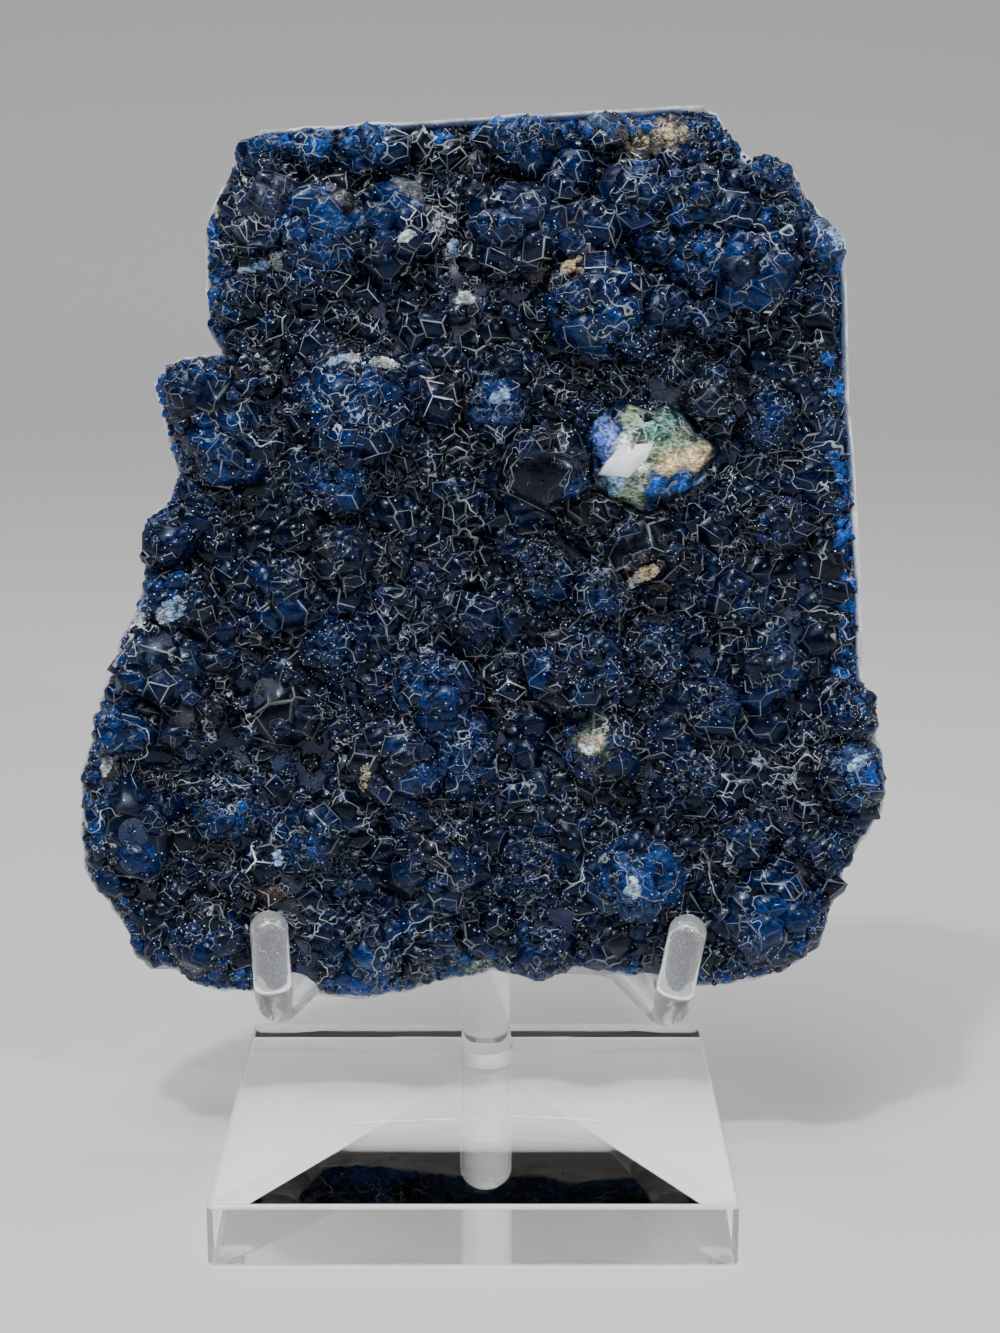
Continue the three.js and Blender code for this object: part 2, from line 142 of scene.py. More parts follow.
SPOTS = (
    # painted glow: the azure spots stand for light shining through the crystals
    *spots_of(Tone.AZURE, (
        (-21, 174, 6), (-45, 172, 5), (-34, 174, 5), (-54, 156, 4), (-53, 144, 4), (-52, 135, 3.5),
        (-31, 157, 7, 0.45), (-16, 158, 5, 0.3), (46, 150, 6, 0.35), (24, 138, 7, 0.3),
        (5, 121, 5, 0.5), (-26, 120, 9, 0.35), (-28, 104, 6, 0.3), (-51, 113, 6, 0.35),
        (-64, 83, 5, 0.7), (79, 45, 5, 0.9), (-73, 55, 4, 0.7), (-41, 46, 3), (-49, 37, 5, 0.6),
        (-36, 33, 6, 0.35), (-69, 29, 5, 0.5), (34, 23, 7, 0.9), (-21, 4, 5, 0.6),
        (-74, 40, 4, 0.5), (10, 175, 4, 0.4), (21, 50, 5, 0.4), (-26, 3, 5, 0.5),
        (62, 12, 6, 0.35), (-8, 45, 6, 0.25),
    )),
    *spots_of(Tone.SMOKE, (
        (-7, 125, 6), (-30, 92, 7), (-42, 60, 9), (-16, 49, 8, 0.6), (14, 108, 9), (-59, 57, 8),
        (21, 97, 5), (50, 122, 8), (35, 89, 9), (-54, 127, 7, 0.6), (64, 90, 9, 0.6), (-42, 18, 8),
        (-25, 133, 8, 0.8), (-45, 167, 5, 0.7), (5, 60, 6, 0.8), (-8, 30, 7, 0.6),
        (66, 44, 7, 0.6), (70, 130, 7, 0.5),
    )),
    # painted sheen on the tops of some knobs, where the light from above reflects
    *spots_of(Tone.LAVENDER_SHEEN, (
        (-66, 70, 6, 0.5), (-24, 48, 5, 0.4), (9, 160, 5, 0.4), (-42, 163, 5, 0.6),
    )),
    Spot(-1, 169, 2, Tone.WHITE, 0.6), Spot(2, 164.5, 1.6, Tone.DRUSE),
    Spot(-13, 163, 1.8, Tone.WHITE, 0.5), Spot(-48, 158, 3, Tone.DRUSE, 0.4),
    Spot(-2, 142, 2.2, Tone.WHITE, 0.7), Spot(-4, 150, 2.5, Tone.WHITE, 0.5),
    Spot(-9, 159, 2.5, Tone.DRUSE, 0.7), Spot(25, 178, 2.5, Tone.SKY, 0.5),
    Spot(3, 178, 3, Tone.SKY, 0.5),
    *spots_of(Tone.CREAM, (
        (32, 174.5, 3.2), (41, 176, 3.2), (37, 175, 3, 0.8), (13, 148, 3, 0.4), (21, 149, 3, 0.6),
        (-28, 163, 2.5, 0.5), (-43, 19, 2.5, 0.5),
    )),
    Spot(25, 52, 2.4, Tone.LICHEN), Spot(-71, 76.5, 2.5, Tone.WHITE),
    Spot(-75, 47, 2.5, Tone.WHITE, 0.7), Spot(80, 48, 2.5, Tone.SKY, 0.6),
    Spot(33, 25, 2.0, Tone.SKY, 0.6), Spot(73, 155, 3, Tone.SKY, 0.8),
    Spot(75, 153, 2.5, Tone.LICHEN), Spot(0, 3, 4, Tone.GREEN), Spot(42, 128, 3, Tone.GREEN, 0.3),
    Spot(32, 86.5, 1.6, Tone.CREAM), Spot(36.5, 86.5, 2, Tone.CREAM),
)


@dataclass(frozen=True)
class Druse:
    """A patch of tiny crystals on top of the others, in mm and degrees on u and v."""

    u: float
    v: float
    length: float
    width: float
    turn: float
    tone: Tone
    above: float = 1.0


DRUSES = (
    Druse(-20.6, 129.2, 5.6, 1.0, -8, Tone.WHITE, 0.6), Druse(-27.0, 129.4, 3.0, 0.7, 10, Tone.SKY, 0.6),
    Druse(-62.2, 78.6, 3.2, 1.8, 35, Tone.SKY), Druse(-63.8, 77.0, 1.6, 1.0, 20, Tone.WHITE),
    Druse(-69.5, 75.6, 2.2, 1.5, 70, Tone.WHITE, 0.3), Druse(-22.7, 44.0, 3.4, 0.7, 78, Tone.CREAM, 1.2),
    Druse(23.7, 51.4, 2.4, 1.6, 20, Tone.CREAM, 1.2), Druse(22.8, 50.4, 1.5, 1.2, 0, Tone.WHITE, 1.5),
    Druse(25.6, 53.6, 1.8, 1.2, 60, Tone.LICHEN, 1.0), Druse(-1.9, 142.2, 1.9, 1.2, 0, Tone.WHITE, 0.8),
    Druse(-7.2, 157.5, 2.8, 0.9, 80, Tone.WHITE, 0.8), Druse(-4.4, 152.8, 2.2, 0.8, 100, Tone.SKY, 0.8),
    Druse(-13.8, 154.0, 1.8, 0.8, 40, Tone.WHITE, 1.0), Druse(34.6, 86.0, 3.2, 1.2, 25, Tone.CREAM, 1.0),
    Druse(33.0, 84.6, 1.6, 0.8, 60, Tone.WHITE, 1.0), Druse(73.4, 154.2, 2.4, 1.4, 110, Tone.SKY, 0.6),
    Druse(32.2, 21.8, 2.0, 0.8, 20, Tone.SKY, 1.6), Druse(32.4, 22.0, 2.0, 0.7, 100, Tone.WHITE, 1.6),
    Druse(0.4, 3.4, 3.0, 1.6, 40, Tone.LICHEN, 0.6), Druse(78.6, 47.0, 2.4, 1.0, 30, Tone.SKY, 0.8),
    Druse(38.5, 175.2, 4.4, 1.5, 12, Tone.CREAM, 0.8), Druse(19.5, 148.6, 2.8, 1.0, 50, Tone.CREAM, 0.8),
    Druse(-45.0, 148.6, 3.6, 0.8, 15, Tone.SKY, 0.8), Druse(-40.5, 149.6, 2.2, 0.9, 120, Tone.DRUSE, 0.8),
    Druse(-12.0, 162.5, 2.0, 0.9, 100, Tone.SKY, 0.8), Druse(-51.5, 161.0, 2.4, 0.8, 60, Tone.WHITE, 0.8),
    Druse(65.5, 43.5, 2.6, 0.9, 60, Tone.DRUSE, 0.8), Druse(-76.5, 46.0, 2.0, 0.8, 80, Tone.WHITE, 0.6),
    Druse(5.2, 122.0, 2.2, 1.0, 30, Tone.SKY, 1.2), Druse(-41.0, 27.0, 1.8, 0.7, 80, Tone.SKY, 0.8),
)

# Colours of the broken knob, each where it is strongest: u, v and tone.
BREAK = (
    (24.9, 115.7, Tone.PERIWINKLE), (22.0, 113.0, Tone.AZURE), (25.0, 110.6, Tone.PERIWINKLE),
    (30.9, 109.1, Tone.WHITE), (28.0, 106.0, Tone.SKY), (36.1, 114.9, Tone.GREEN), (40.6, 117.4, Tone.GREEN),
    (33.0, 118.6, Tone.LICHEN), (39.2, 108.3, Tone.CREAM), (44.3, 109.7, Tone.CREAM),
    (36.0, 111.5, Tone.LICHEN), (43.0, 113.5, Tone.LICHEN), (32.8, 103.5, Tone.LICHEN),
    (37.1, 103.5, Tone.AZURE), (42.3, 105.2, Tone.AZURE), (47.2, 105.5, Tone.SKY),
    (41.9, 100.6, Tone.SMOKE), (28.2, 121.1, Tone.ROYAL), (46.5, 117.0, Tone.ROYAL),
)

# The white cleaved face on the broken knob: its corners on u, v and w, in mm.
CHIP = np.array([
    (25.7, 106.6, 19.4), (27.3, 109.1, 19.6), (30.0, 112.0, 20.0),
    (35.8, 112.3, 21.0), (34.6, 109.3, 20.9), (31.1, 105.7, 20.4),
])

# Druse patches whose crystals carry a brighter painted highlight on their edges: middle on u and v, and
# radius.
LACE = np.array([
    (-36, 141, 8), (-46.4, 144, 5), (-25.8, 142, 5), (-9.3, 156.3, 6), (-4.1, 152, 6), (-1.8, 141.8, 3),
    (2, 171.8, 6), (66, 44.5, 8), (-36, 168.5, 6), (-11.3, 167.7, 7), (23.7, 147, 6), (-41, 25, 6),
    (35, 168, 8), (8, 60, 6), (52, 97, 8), (-7, 118, 5), (60, 142, 6), (-48, 158, 5), (18, 133, 4),
])


# Large odd numbers that mix a cell's place and the seed into noise.
MIXERS = np.array([0x9E3779B1, 0x85EBCA77, 0xC2B2AE3D, 0x27D4EB2F, 0x2C1B3C6D], np.uint64)


def hashed(cells: np.ndarray, seed: int) -> np.ndarray:
    """Gives every cell of a grid its own number between -1 and 1.

    The cell's three integers are each multiplied by a large odd number and mixed bit by bit.

    Args:
        cells: integer cell positions, of shape (..., 3).
        seed: another seed gives other numbers.

    Returns:
        One number for each cell.
    """
    keys = cells.astype(np.int64).astype(np.uint64)
    mixed = keys[..., 0] * MIXERS[0] ^ keys[..., 1] * MIXERS[1]
    mixed ^= keys[..., 2] * MIXERS[2] ^ np.uint64(seed) * MIXERS[3]
    mixed ^= mixed >> np.uint64(15)
    mixed *= MIXERS[4]
    mixed ^= mixed >> np.uint64(12)
    return (mixed & np.uint64(0xFFFF)).astype(float) / 0x8000 - 1


def noise(points: np.ndarray, scale: float, seed: int) -> np.ndarray:
    """Smooth noise between -1 and 1: hashed corner values blended by 3t^2 - 2t^3 along each axis.

    Args:
        points: positions of shape (..., 3), in mm.
        scale: size of one noise cell, in mm.
        seed: another seed gives another pattern.

    Returns:
        One value for each point.
    """
    scaled = points / scale
    cell = np.floor(scaled)
    t = scaled - cell
    t = t * t * (3 - 2 * t)
    total = np.zeros(points.shape[:-1])
    for corner in product((0, 1), repeat=3):
        step = np.array(corner)
        share = np.prod(np.where(step == 1, t, 1 - t), axis=-1)
        total += share * hashed(cell + step, seed)
    return total


def rough(points: np.ndarray, scale: float, seed: int) -> np.ndarray:
    """Three octaves of noise, each half as large and as strong as the last, over the sum of their strengths.

    Args:
        points: places of shape (..., 3), in the plate's mm.
        scale: the size of the largest octave's cells.
        seed: the number that the first octave draws with.

    Returns:
        One value for each point.
    """
    octaves = [noise(points, scale / 2**i, seed + i) / 2**i for i in range(3)]
    return sum(octaves) / 1.75


def smoothstep(low: float, high: float, x: np.ndarray) -> np.ndarray:
    """Rises from 0 at low to 1 at high along 3t^2 - 2t^3."""
    t = np.clip((x - low) / (high - low), 0, 1)
    return t * t * (3 - 2 * t)


def blend(first: np.ndarray, second: np.ndarray, share: np.ndarray) -> np.ndarray:
    """The first at share 0 and the second at share 1."""
    return first * (1 - share) + second * share


def on_plane(uv: np.ndarray) -> np.ndarray:
    """Gives places on the plate a third coordinate of 0, as the noise needs."""
    return np.concatenate([uv, np.zeros((len(uv), 1))], axis=1)


def unit(vectors: np.ndarray) -> np.ndarray:
    """The same directions, each one long."""
    return vectors / np.linalg.norm(vectors, axis=1, keepdims=True)


def segment_distance(points: np.ndarray, start: np.ndarray, end: np.ndarray) -> np.ndarray:
    """Distance from each point to a segment, at the share t = (p - start) . run / run . run of its run.

    Args:
        points: positions of shape (..., d), in any number d of dimensions.
        start: the segment's first end.
        end: its other end.

    Returns:
        One distance for each point.
    """
    run = end - start
    t = np.clip(((points - start) @ run) / (run @ run), 0, 1)
    return np.linalg.norm(points - start - t[..., None] * run, axis=-1)


def edge_distance(uv: np.ndarray) -> np.ndarray:
    """Distance to the outline, negative outside it, where a level ray crosses it an even number of times.

    Args:
        uv: places on the plate, of shape (n, 2).

    Returns:
        One distance in mm for each place.
    """
    nearest = np.full(len(uv), np.inf)
    odd = np.zeros(len(uv), bool)
    for a, b in zip(OUTLINE, np.roll(OUTLINE, -1, axis=0)):
        nearest = np.minimum(nearest, segment_distance(uv, a, b))
        spans = (a[1] > uv[:, 1]) != (b[1] > uv[:, 1])
        if a[1] != b[1]:
            cross = (b[0] - a[0]) * (uv[:, 1] - a[1]) / (b[1] - a[1]) + a[0]
            odd ^= spans & (uv[:, 0] < cross)
    return np.where(odd, nearest, -nearest)


def saw_share(uv: np.ndarray) -> np.ndarray:
    """1 on the saw cuts, falling to 0 within a few mm beside them."""
    cuts = [segment_distance(uv, np.array(a), np.array(b)) for a, b in SAW_CUTS]
    return 1 - smoothstep(0.8, 2.5, np.minimum(*cuts))


def placed_object(name: str, data: bpy.types.ID) -> bpy.types.Object:
    """An object at the origin, linked to the scene.

    Args:
        name: the object's name.
        data: the mesh, lamp or camera that it holds.

    Returns:
        The object.
    """
    item = bpy.data.objects.new(name, data)
    bpy.context.scene.collection.objects.link(item)
    return item


def new_object(name: str, vertices: np.ndarray, faces: np.ndarray) -> bpy.types.Object:
    """Makes a mesh object at the origin from whole arrays.

    Args:
        name: the piece's name.
        vertices: positions of shape (n, 3), in metres.
        faces: vertex numbers of shape (m, 3) or (m, 4). A quad whose last two are alike is a triangle.

    Returns:
        The new object, linked to the scene.
    """
    mesh = bpy.data.meshes.new(name)
    mesh.vertices.add(len(vertices))
    mesh.vertices.foreach_set("co", vertices.astype(np.float32).ravel())
    keep = np.ones(faces.shape, bool)
    if faces.shape[1] == 4:
        keep[:, 3] = faces[:, 3] != faces[:, 2]
    corners = faces[keep]
    counts = keep.sum(axis=1)
    mesh.loops.add(len(corners))
    mesh.loops.foreach_set("vertex_index", corners.astype(np.int32))
    mesh.polygons.add(len(faces))
    mesh.polygons.foreach_set("loop_start", (np.cumsum(counts) - counts).astype(np.int32))
    mesh.update(calc_edges=True)
    return placed_object(name, mesh)


def ring_surface(name: str, rings: np.ndarray, start: np.ndarray, end: np.ndarray) -> bpy.types.Object:
    """A closed surface through rings of points, shut by a fan at each end.

    Args:
        name: the piece's name.
        rings: positions of shape (rows, points, 3), in metres.
        start: the point that shuts the first ring.
        end: the point that shuts the last ring.

    Returns:
        The new object, with its faces pointing outwards.
    """
    rows, count, _ = rings.shape
    vertices = np.concatenate([rings.reshape(-1, 3), start[None], end[None]])
    first = np.arange(count)
    after = np.roll(first, -1)
    base = (np.arange(rows - 1) * count)[:, None]
    walls = np.stack([base + first, base + after, base + count + after, base + count + first], axis=-1)
    tail = np.full(count, rows * count)
    fan_start = np.stack([after, first, tail, tail], axis=-1)
    last = (rows - 1) * count
    fan_end = np.stack([last + first, last + after, tail + 1, tail + 1], axis=-1)
    faces = np.concatenate([walls.reshape(-1, 4), fan_start, fan_end])
    a, b, c, d = (vertices[faces[:, i]] for i in range(4))
    volume = np.einsum("ij,ij->", a, np.cross(b, c)) + np.einsum("ij,ij->", a, np.cross(c, d))
    if volume < 0:
        faces = faces[:, [1, 0, 3, 2]]
        faces[-2 * count:] = faces[-2 * count:][:, [0, 1, 2, 2]]
    return new_object(name, vertices, faces)


def smooth_piece(piece: bpy.types.Object, angle: float = 32.0) -> None:
    """Shades a piece smooth, apart from edges sharper than the angle in degrees."""
    piece.data.shade_smooth()
    piece.data.set_sharp_from_angle(angle=math.radians(angle))


def put_attribute(piece: bpy.types.Object, name: str, values: np.ndarray, domain: str) -> None:
    """Stores one number, vector or colour for each point, face or face's corner.

    Args:
        piece: the mesh object.
        name: the attribute's name, as materials read it.
        values: of shape (n,), (n, 3) or (n, 4).
        domain: POINT, FACE or CORNER.
    """
    kinds = {1: ("FLOAT", "value"), 3: ("FLOAT_VECTOR", "vector"), 4: ("FLOAT_COLOR", "color")}
    kind, key = kinds[1 if values.ndim == 1 else values.shape[1]]
    attribute = piece.data.attributes.new(name, kind, domain)
    attribute.data.foreach_set(key, values.astype(np.float32).ravel())


def with_alpha(rgb: np.ndarray) -> np.ndarray:
    """Adds a fourth column of ones to colours."""
    return np.concatenate([rgb, np.ones((len(rgb), 1))], axis=1)


class Nodes:
    """A short way to write a node tree."""

    def __init__(self, tree: bpy.types.NodeTree) -> None:
        """Keeps the tree and empties it."""
        self.tree = tree
        tree.nodes.clear()

    def add(self, kind: str, inputs: dict | None = None, **settings: object) -> bpy.types.Node:
        """Adds a node, sets its own settings and fills or links its inputs.

        Args:
            kind: the node's type, without ShaderNode in front.
            inputs: for each input, by name or number, a value or the output socket that feeds it.
            settings: properties of the node.

        Returns:
            The node.
        """
        node = self.tree.nodes.new("ShaderNode" + kind)
        for name, value in settings.items():
            setattr(node, name, value)
        return self.fill(node, inputs or {})

    def fill(self, node: bpy.types.Node, inputs: dict) -> bpy.types.Node:
        """Links the inputs that a socket feeds and sets the others.

        Args:
            node: the node to fill.
            inputs: for each input, by name or number, a value or the output socket that feeds it.

        Returns:
            The same node.
        """
        for key, value in inputs.items():
            if isinstance(value, bpy.types.NodeSocket):
                self.tree.links.new(value, node.inputs[key])
            else:
                node.inputs[key].default_value = value
        return node

    def surface(self, inputs: dict) -> None:
        """Adds the material's own Principled shader and joins it to the output."""
        shader = self.add("BsdfPrincipled", inputs)
        self.add("OutputMaterial", {"Surface": shader.outputs[0]})

    def scaled(self, colour: object, by: object) -> bpy.types.NodeSocket:
        """A colour or vector times a number."""
        return self.add("VectorMath", {0: colour, "Scale": by}, operation="SCALE").outputs[0]

    def math(self, operation: str, a: object, b: object = 0.0, c: object = 0.0) -> bpy.types.NodeSocket:
        """One arithmetic step."""
        return self.add("Math", {0: a, 1: b, 2: c}, operation=operation).outputs[0]

    def mix(self, share: object, a: object, b: object) -> bpy.types.NodeSocket:
        """Colour a at share 0 and colour b at share 1."""
        return self.add("Mix", {0: share, 6: a, 7: b}, data_type="RGBA").outputs[2]

    def span(self, value: object, low: float, high: float,
             to_low: float, to_high: float) -> bpy.types.NodeSocket:
        """Maps low to high onto to_low to to_high, held at both ends."""
        inputs = {"Value": value, 1: low, 2: high, 3: to_low, 4: to_high}
        return self.add("MapRange", inputs).outputs[0]

    def attribute(self, name: str) -> bpy.types.Node:
        """Reads one of the piece's own attributes."""
        return self.add("Attribute", attribute_name=name)

    def group(self, tree: bpy.types.NodeTree, inputs: dict) -> bpy.types.Node:
        """Places a shared effect with its own values."""
        return self.add("Group", inputs, node_tree=tree)


def new_group(name: str, inputs: dict[str, tuple[str, float]],
              outputs: dict[str, str]) -> bpy.types.NodeTree:
    """An empty shader node group with named sockets.

    Args:
        name: the group's name.
        inputs: for each input, its socket kind and its default.
        outputs: for each output, its socket kind.

    Returns:
        The group's tree.
    """
    tree = bpy.data.node_groups.new(name, "ShaderNodeTree")
    for key, (kind, default) in inputs.items():
        socket = tree.interface.new_socket(key, in_out="INPUT", socket_type=kind)
        if kind == "NodeSocketFloat":
            socket.default_value = default
    for key, kind in outputs.items():
        tree.interface.new_socket(key, in_out="OUTPUT", socket_type=kind)
    return tree


def grain_group() -> bpy.types.NodeTree:
    """Fine uneven grain: soft noise in two sizes, as a mask and as a height.

    Returns:
        The group's tree.
    """
    inputs = {"Vector": ("NodeSocketVector", 0.0), "Scale": ("NodeSocketFloat", 1000.0)}
    tree = new_group("Grain", inputs, {"Mask": "NodeSocketFloat", "Height": "NodeSocketFloat"})
    n = Nodes(tree)
    source = tree.nodes.new("NodeGroupInput")
    sink = tree.nodes.new("NodeGroupOutput")
    place, scale = source.outputs["Vector"], source.outputs["Scale"]
    coarse = n.add("TexNoise", {"Vector": place, "Scale": scale, "Detail": 4.0})
    finer = n.math("MULTIPLY", scale, 4.0)
    fine = n.add("TexNoise", {"Vector": place, "Scale": finer, "Detail": 2.0})
    mask = n.span(coarse.outputs[0], 0.35, 0.65, 0.0, 1.0)
    height = n.math("MULTIPLY_ADD", fine.outputs[0], 0.35, coarse.outputs[0])
    tree.links.new(mask, sink.inputs["Mask"])
    tree.links.new(height, sink.inputs["Height"])
    return tree


def speckle_group() -> bpy.types.NodeTree:
    """Small separate specks: cells of a Voronoi pattern whose middle is near and whose number is drawn.

    Returns:
        The group's tree.
    """
    inputs = {
        "Vector": ("NodeSocketVector", 0.0),
        "Scale": ("NodeSocketFloat", 900.0),
        "Share": ("NodeSocketFloat", 0.15),
    }
    tree = new_group("Speckle", inputs, {"Mask": "NodeSocketFloat"})
    n = Nodes(tree)
    source = tree.nodes.new("NodeGroupInput")
    sink = tree.nodes.new("NodeGroupOutput")
    cells = n.add("TexVoronoi", {"Vector": source.outputs["Vector"], "Scale": source.outputs["Scale"]})
    near = n.math("LESS_THAN", cells.outputs["Distance"], 0.28)
    drawn = n.add("SeparateColor", {0: cells.outputs["Color"]}).outputs[0]
    chosen = n.math("LESS_THAN", drawn, source.outputs["Share"])
    tree.links.new(n.math("MULTIPLY", near, chosen), sink.inputs["Mask"])
    return tree


@dataclass(frozen=True)
class Effects:
    """The node groups that more than one material uses."""

    grain: bpy.types.NodeTree
    speckle: bpy.types.NodeTree


def new_material(name: str) -> tuple[bpy.types.Material, Nodes]:
    """A material with an empty node tree.

    Args:
        name: the material's name.

    Returns:
        The material and its nodes.
    """
    material = bpy.data.materials.new(name)
    material.use_nodes = True
    return material, Nodes(material.node_tree)


@dataclass(frozen=True)
class CrystalFinish:
    """Glossy fluorite with painted highlights on its edges and a painted sheen on its up-facing faces."""

    name: str = "fluorite_crystal"
    # painted highlight colour of the crystals' edges, also taken by the pale veins
    pale_edge: Colour = (0.82, 0.90, 0.98, 1.0)
    # painted sheen colour: the grey reflection of the light from above on faces that look up
    painted_sheen: Colour = (0.034, 0.037, 0.066, 1.0)
    sheen: Colour = (0.52, 0.72, 1.0, 1.0)
    ior: float = 1.434
    specular: float = 0.25
    coat: tuple[float, float] = (0.10, 0.04)
    bump: float = 0.25
    line: tuple[float, float] = (0.07, 0.19)
    grain_scale: float = 900.0
    patch_scale: float = 260.0
    striae_scale: float = 1150.0
    striae_stretch: Place = (1.0, 1.0, 2.8)
    veins_drawn: tuple[tuple[float, float], ...] = ((48.0, 0.0042), (105.0, 0.0060))

    def make(self, effects: Effects) -> bpy.types.Material:
        """Base colour from the crystal's own tint, with painted highlights on its edges and a painted sheen
        on faces that look up, and growth hillocks as bump.

        Args:
            effects: the shared node groups.

        Returns:
            The material.
        """
        material, n = new_material(self.name)
        place = n.add("TexCoord").outputs["Object"]
        grain = n.group(effects.grain, {"Vector": place, "Scale": self.grain_scale})
        tint = n.attribute("tint").outputs["Color"]
        pale = n.attribute("pale").outputs["Fac"]
        painted_top_sheen = n.attribute("painted_top_sheen").outputs["Fac"]
        gloss = n.attribute("gloss").outputs["Fac"]
        patches = n.group(effects.grain, {"Vector": place, "Scale": self.patch_scale})
        sides = n.add("SeparateXYZ", {0: n.attribute("side").outputs["Vector"]}).outputs
        nearest = n.math("MINIMUM", n.math("MINIMUM", sides[0], sides[1]), sides[2])
        # painted highlight: the pale mask whitens the crystals' edges, and the veins' pale lines join it
        width = n.span(patches.outputs["Mask"], 0.0, 1.0, self.line[1], self.line[0])
        line = n.span(n.math("DIVIDE", nearest, width), 0.6, 1.0, 1.0, 0.0)
        pale = n.math("MULTIPLY", pale, line)
        pale = n.math("MAXIMUM", pale, self.veins(n, place, effects))
        along = n.add("VectorMath", {0: place, 1: self.striae_stretch}, operation="MULTIPLY").outputs[0]
        striae = n.group(effects.grain, {"Vector": along, "Scale": self.striae_scale})
        striped = n.span(striae.outputs["Mask"], 0.4, 1.0, 0.0, 1.0)
        shade = n.span(grain.outputs["Mask"], 0.0, 1.0, 0.7, 1.25)
        shade = n.math("MULTIPLY", shade, n.span(patches.outputs["Mask"], 0.0, 1.0, 0.16, 1.30))
        varied = n.scaled(tint, shade)
        brushed = n.span(striae.outputs["Mask"], 0.3, 1.0, 0.55, 1.8)
        varied = n.scaled(varied, brushed)
        # painted sheen: faces that look up turn grey-lavender, in streaks
        painted_sheen = n.mix(n.math("MULTIPLY", painted_top_sheen, striped), varied, self.painted_sheen)
        colour = n.mix(pale, painted_sheen, self.pale_edge)
        fine = n.math("MULTIPLY_ADD", grain.outputs["Mask"], 0.10, gloss)
        bump = n.add("Bump", {"Strength": self.bump, "Distance": 0.0002, "Height": grain.outputs["Height"]})
        n.surface({
            "Base Color": colour,
            "Roughness": fine,
            "IOR": self.ior,
            "Specular IOR Level": self.specular,
            "Specular Tint": self.sheen,
            "Coat Weight": self.coat[0],
            "Coat Roughness": self.coat[1],
            "Normal": bump.outputs[0],
        })
        return material

    def veins(self, n: Nodes, place: bpy.types.NodeSocket, effects: Effects) -> bpy.types.NodeSocket:
        """Thin pale lines that wander over the crystals where a broad noise crosses its middle.

        Args:
            n: the material's nodes.
            place: the socket that gives the place on the piece.
            effects: the shared node groups.

        Returns:
            The mask of the lines.
        """
        total = None
        for scale, thin in self.veins_drawn:
            broad = n.add("TexNoise", {"Vector": place, "Scale": scale, "Detail": 3.0}).outputs[0]
            away = n.math("ABSOLUTE", n.math("SUBTRACT", broad, 0.5))
            line = n.span(away, thin * 0.4, thin, 1.0, 0.0)
            part = n.group(effects.grain, {"Vector": place, "Scale": scale * 0.9}).outputs["Mask"]
            line = n.math("MULTIPLY", line, n.span(part, 0.45, 0.95, 0.0, 0.5))
            total = line if total is None else n.math("MAXIMUM", total, line)
        return total


@dataclass(frozen=True)
class MatrixFinish:
    """The ground of the plate: dark druse in front, pale rough rock at its rim, sides and back."""

    name: str = "fluorite_matrix"
    grain_scale: float = 160.0
    broad_scale: float = 42.0
    cleavage_scale: float = 330.0
    fine_scale: float = 1100.0
    speck_scale: float = 700.0
    band_at: tuple[float, float] = (9.4, 10.4)
    rock: Colour = (0.50, 0.47, 0.41, 1.0)
    stain: Colour = (0.33, 0.22, 0.11, 1.0)
    fluorite: Colour = (0.10, 0.15, 0.27, 1.0)
    speck: Colour = (0.16, 0.15, 0.15, 1.0)
    band: Colour = (0.05, 0.12, 0.32, 1.0)

    def make(self, effects: Effects) -> bpy.types.Material:
        """Rock colour where crust is 0, the point's own tint where it is 1, and bands near the front.

        Args:
            effects: the shared node groups.

        Returns:
            The material.
        """
        material, n = new_material(self.name)
        place = n.add("TexCoord").outputs["Object"]
        grain = n.group(effects.grain, {"Vector": place, "Scale": self.grain_scale})
        broad = n.group(effects.grain, {"Vector": place, "Scale": self.broad_scale})
        crystals = n.add("TexVoronoi", {"Vector": place, "Scale": self.cleavage_scale})
        cleaved = n.add("SeparateColor", {0: crystals.outputs["Color"]}).outputs[0]
        fine = n.group(effects.grain, {"Vector": place, "Scale": self.fine_scale})
        specks = n.group(effects.speckle, {"Vector": place, "Scale": self.speck_scale, "Share": 0.2})
        crust = n.attribute("crust").outputs["Fac"]
        tint = n.attribute("tint").outputs["Color"]
        depth = n.add("SeparateXYZ", {0: n.attribute("plate").outputs["Vector"]}).outputs[2]
        wavy = n.math("MULTIPLY_ADD", grain.outputs["Mask"], 1.6, depth)
        banded = n.span(wavy, *self.band_at, 0.0, 0.85)
        rusty = n.math("MULTIPLY", grain.outputs["Mask"], n.span(broad.outputs["Mask"], 0.55, 1.0, 0.05, 0.8))
        rock = n.mix(rusty, self.rock, self.stain)
        shade = n.span(cleaved, 0.0, 1.0, 0.72, 1.12)
        rock = n.scaled(rock, shade)
        glassy = n.span(broad.outputs["Mask"], 0.0, 0.35, 0.75, 0.0)
        glassy = n.math("MULTIPLY", glassy, grain.outputs["Mask"])
        rock = n.mix(glassy, rock, self.fluorite)
        rock = n.mix(specks.outputs["Mask"], rock, self.speck)
        side = n.mix(banded, rock, self.band)
        colour = n.mix(crust, side, tint)
        roughness = n.span(crust, 0.0, 1.0, 0.8, 0.3)
        height = n.math("MULTIPLY_ADD", cleaved, 0.5, fine.outputs["Height"])
        bump = n.add("Bump", {"Strength": 0.7, "Distance": 0.0006, "Height": height})
        n.surface({"Base Color": colour, "Roughness": roughness, "Normal": bump.outputs[0]})
        return material


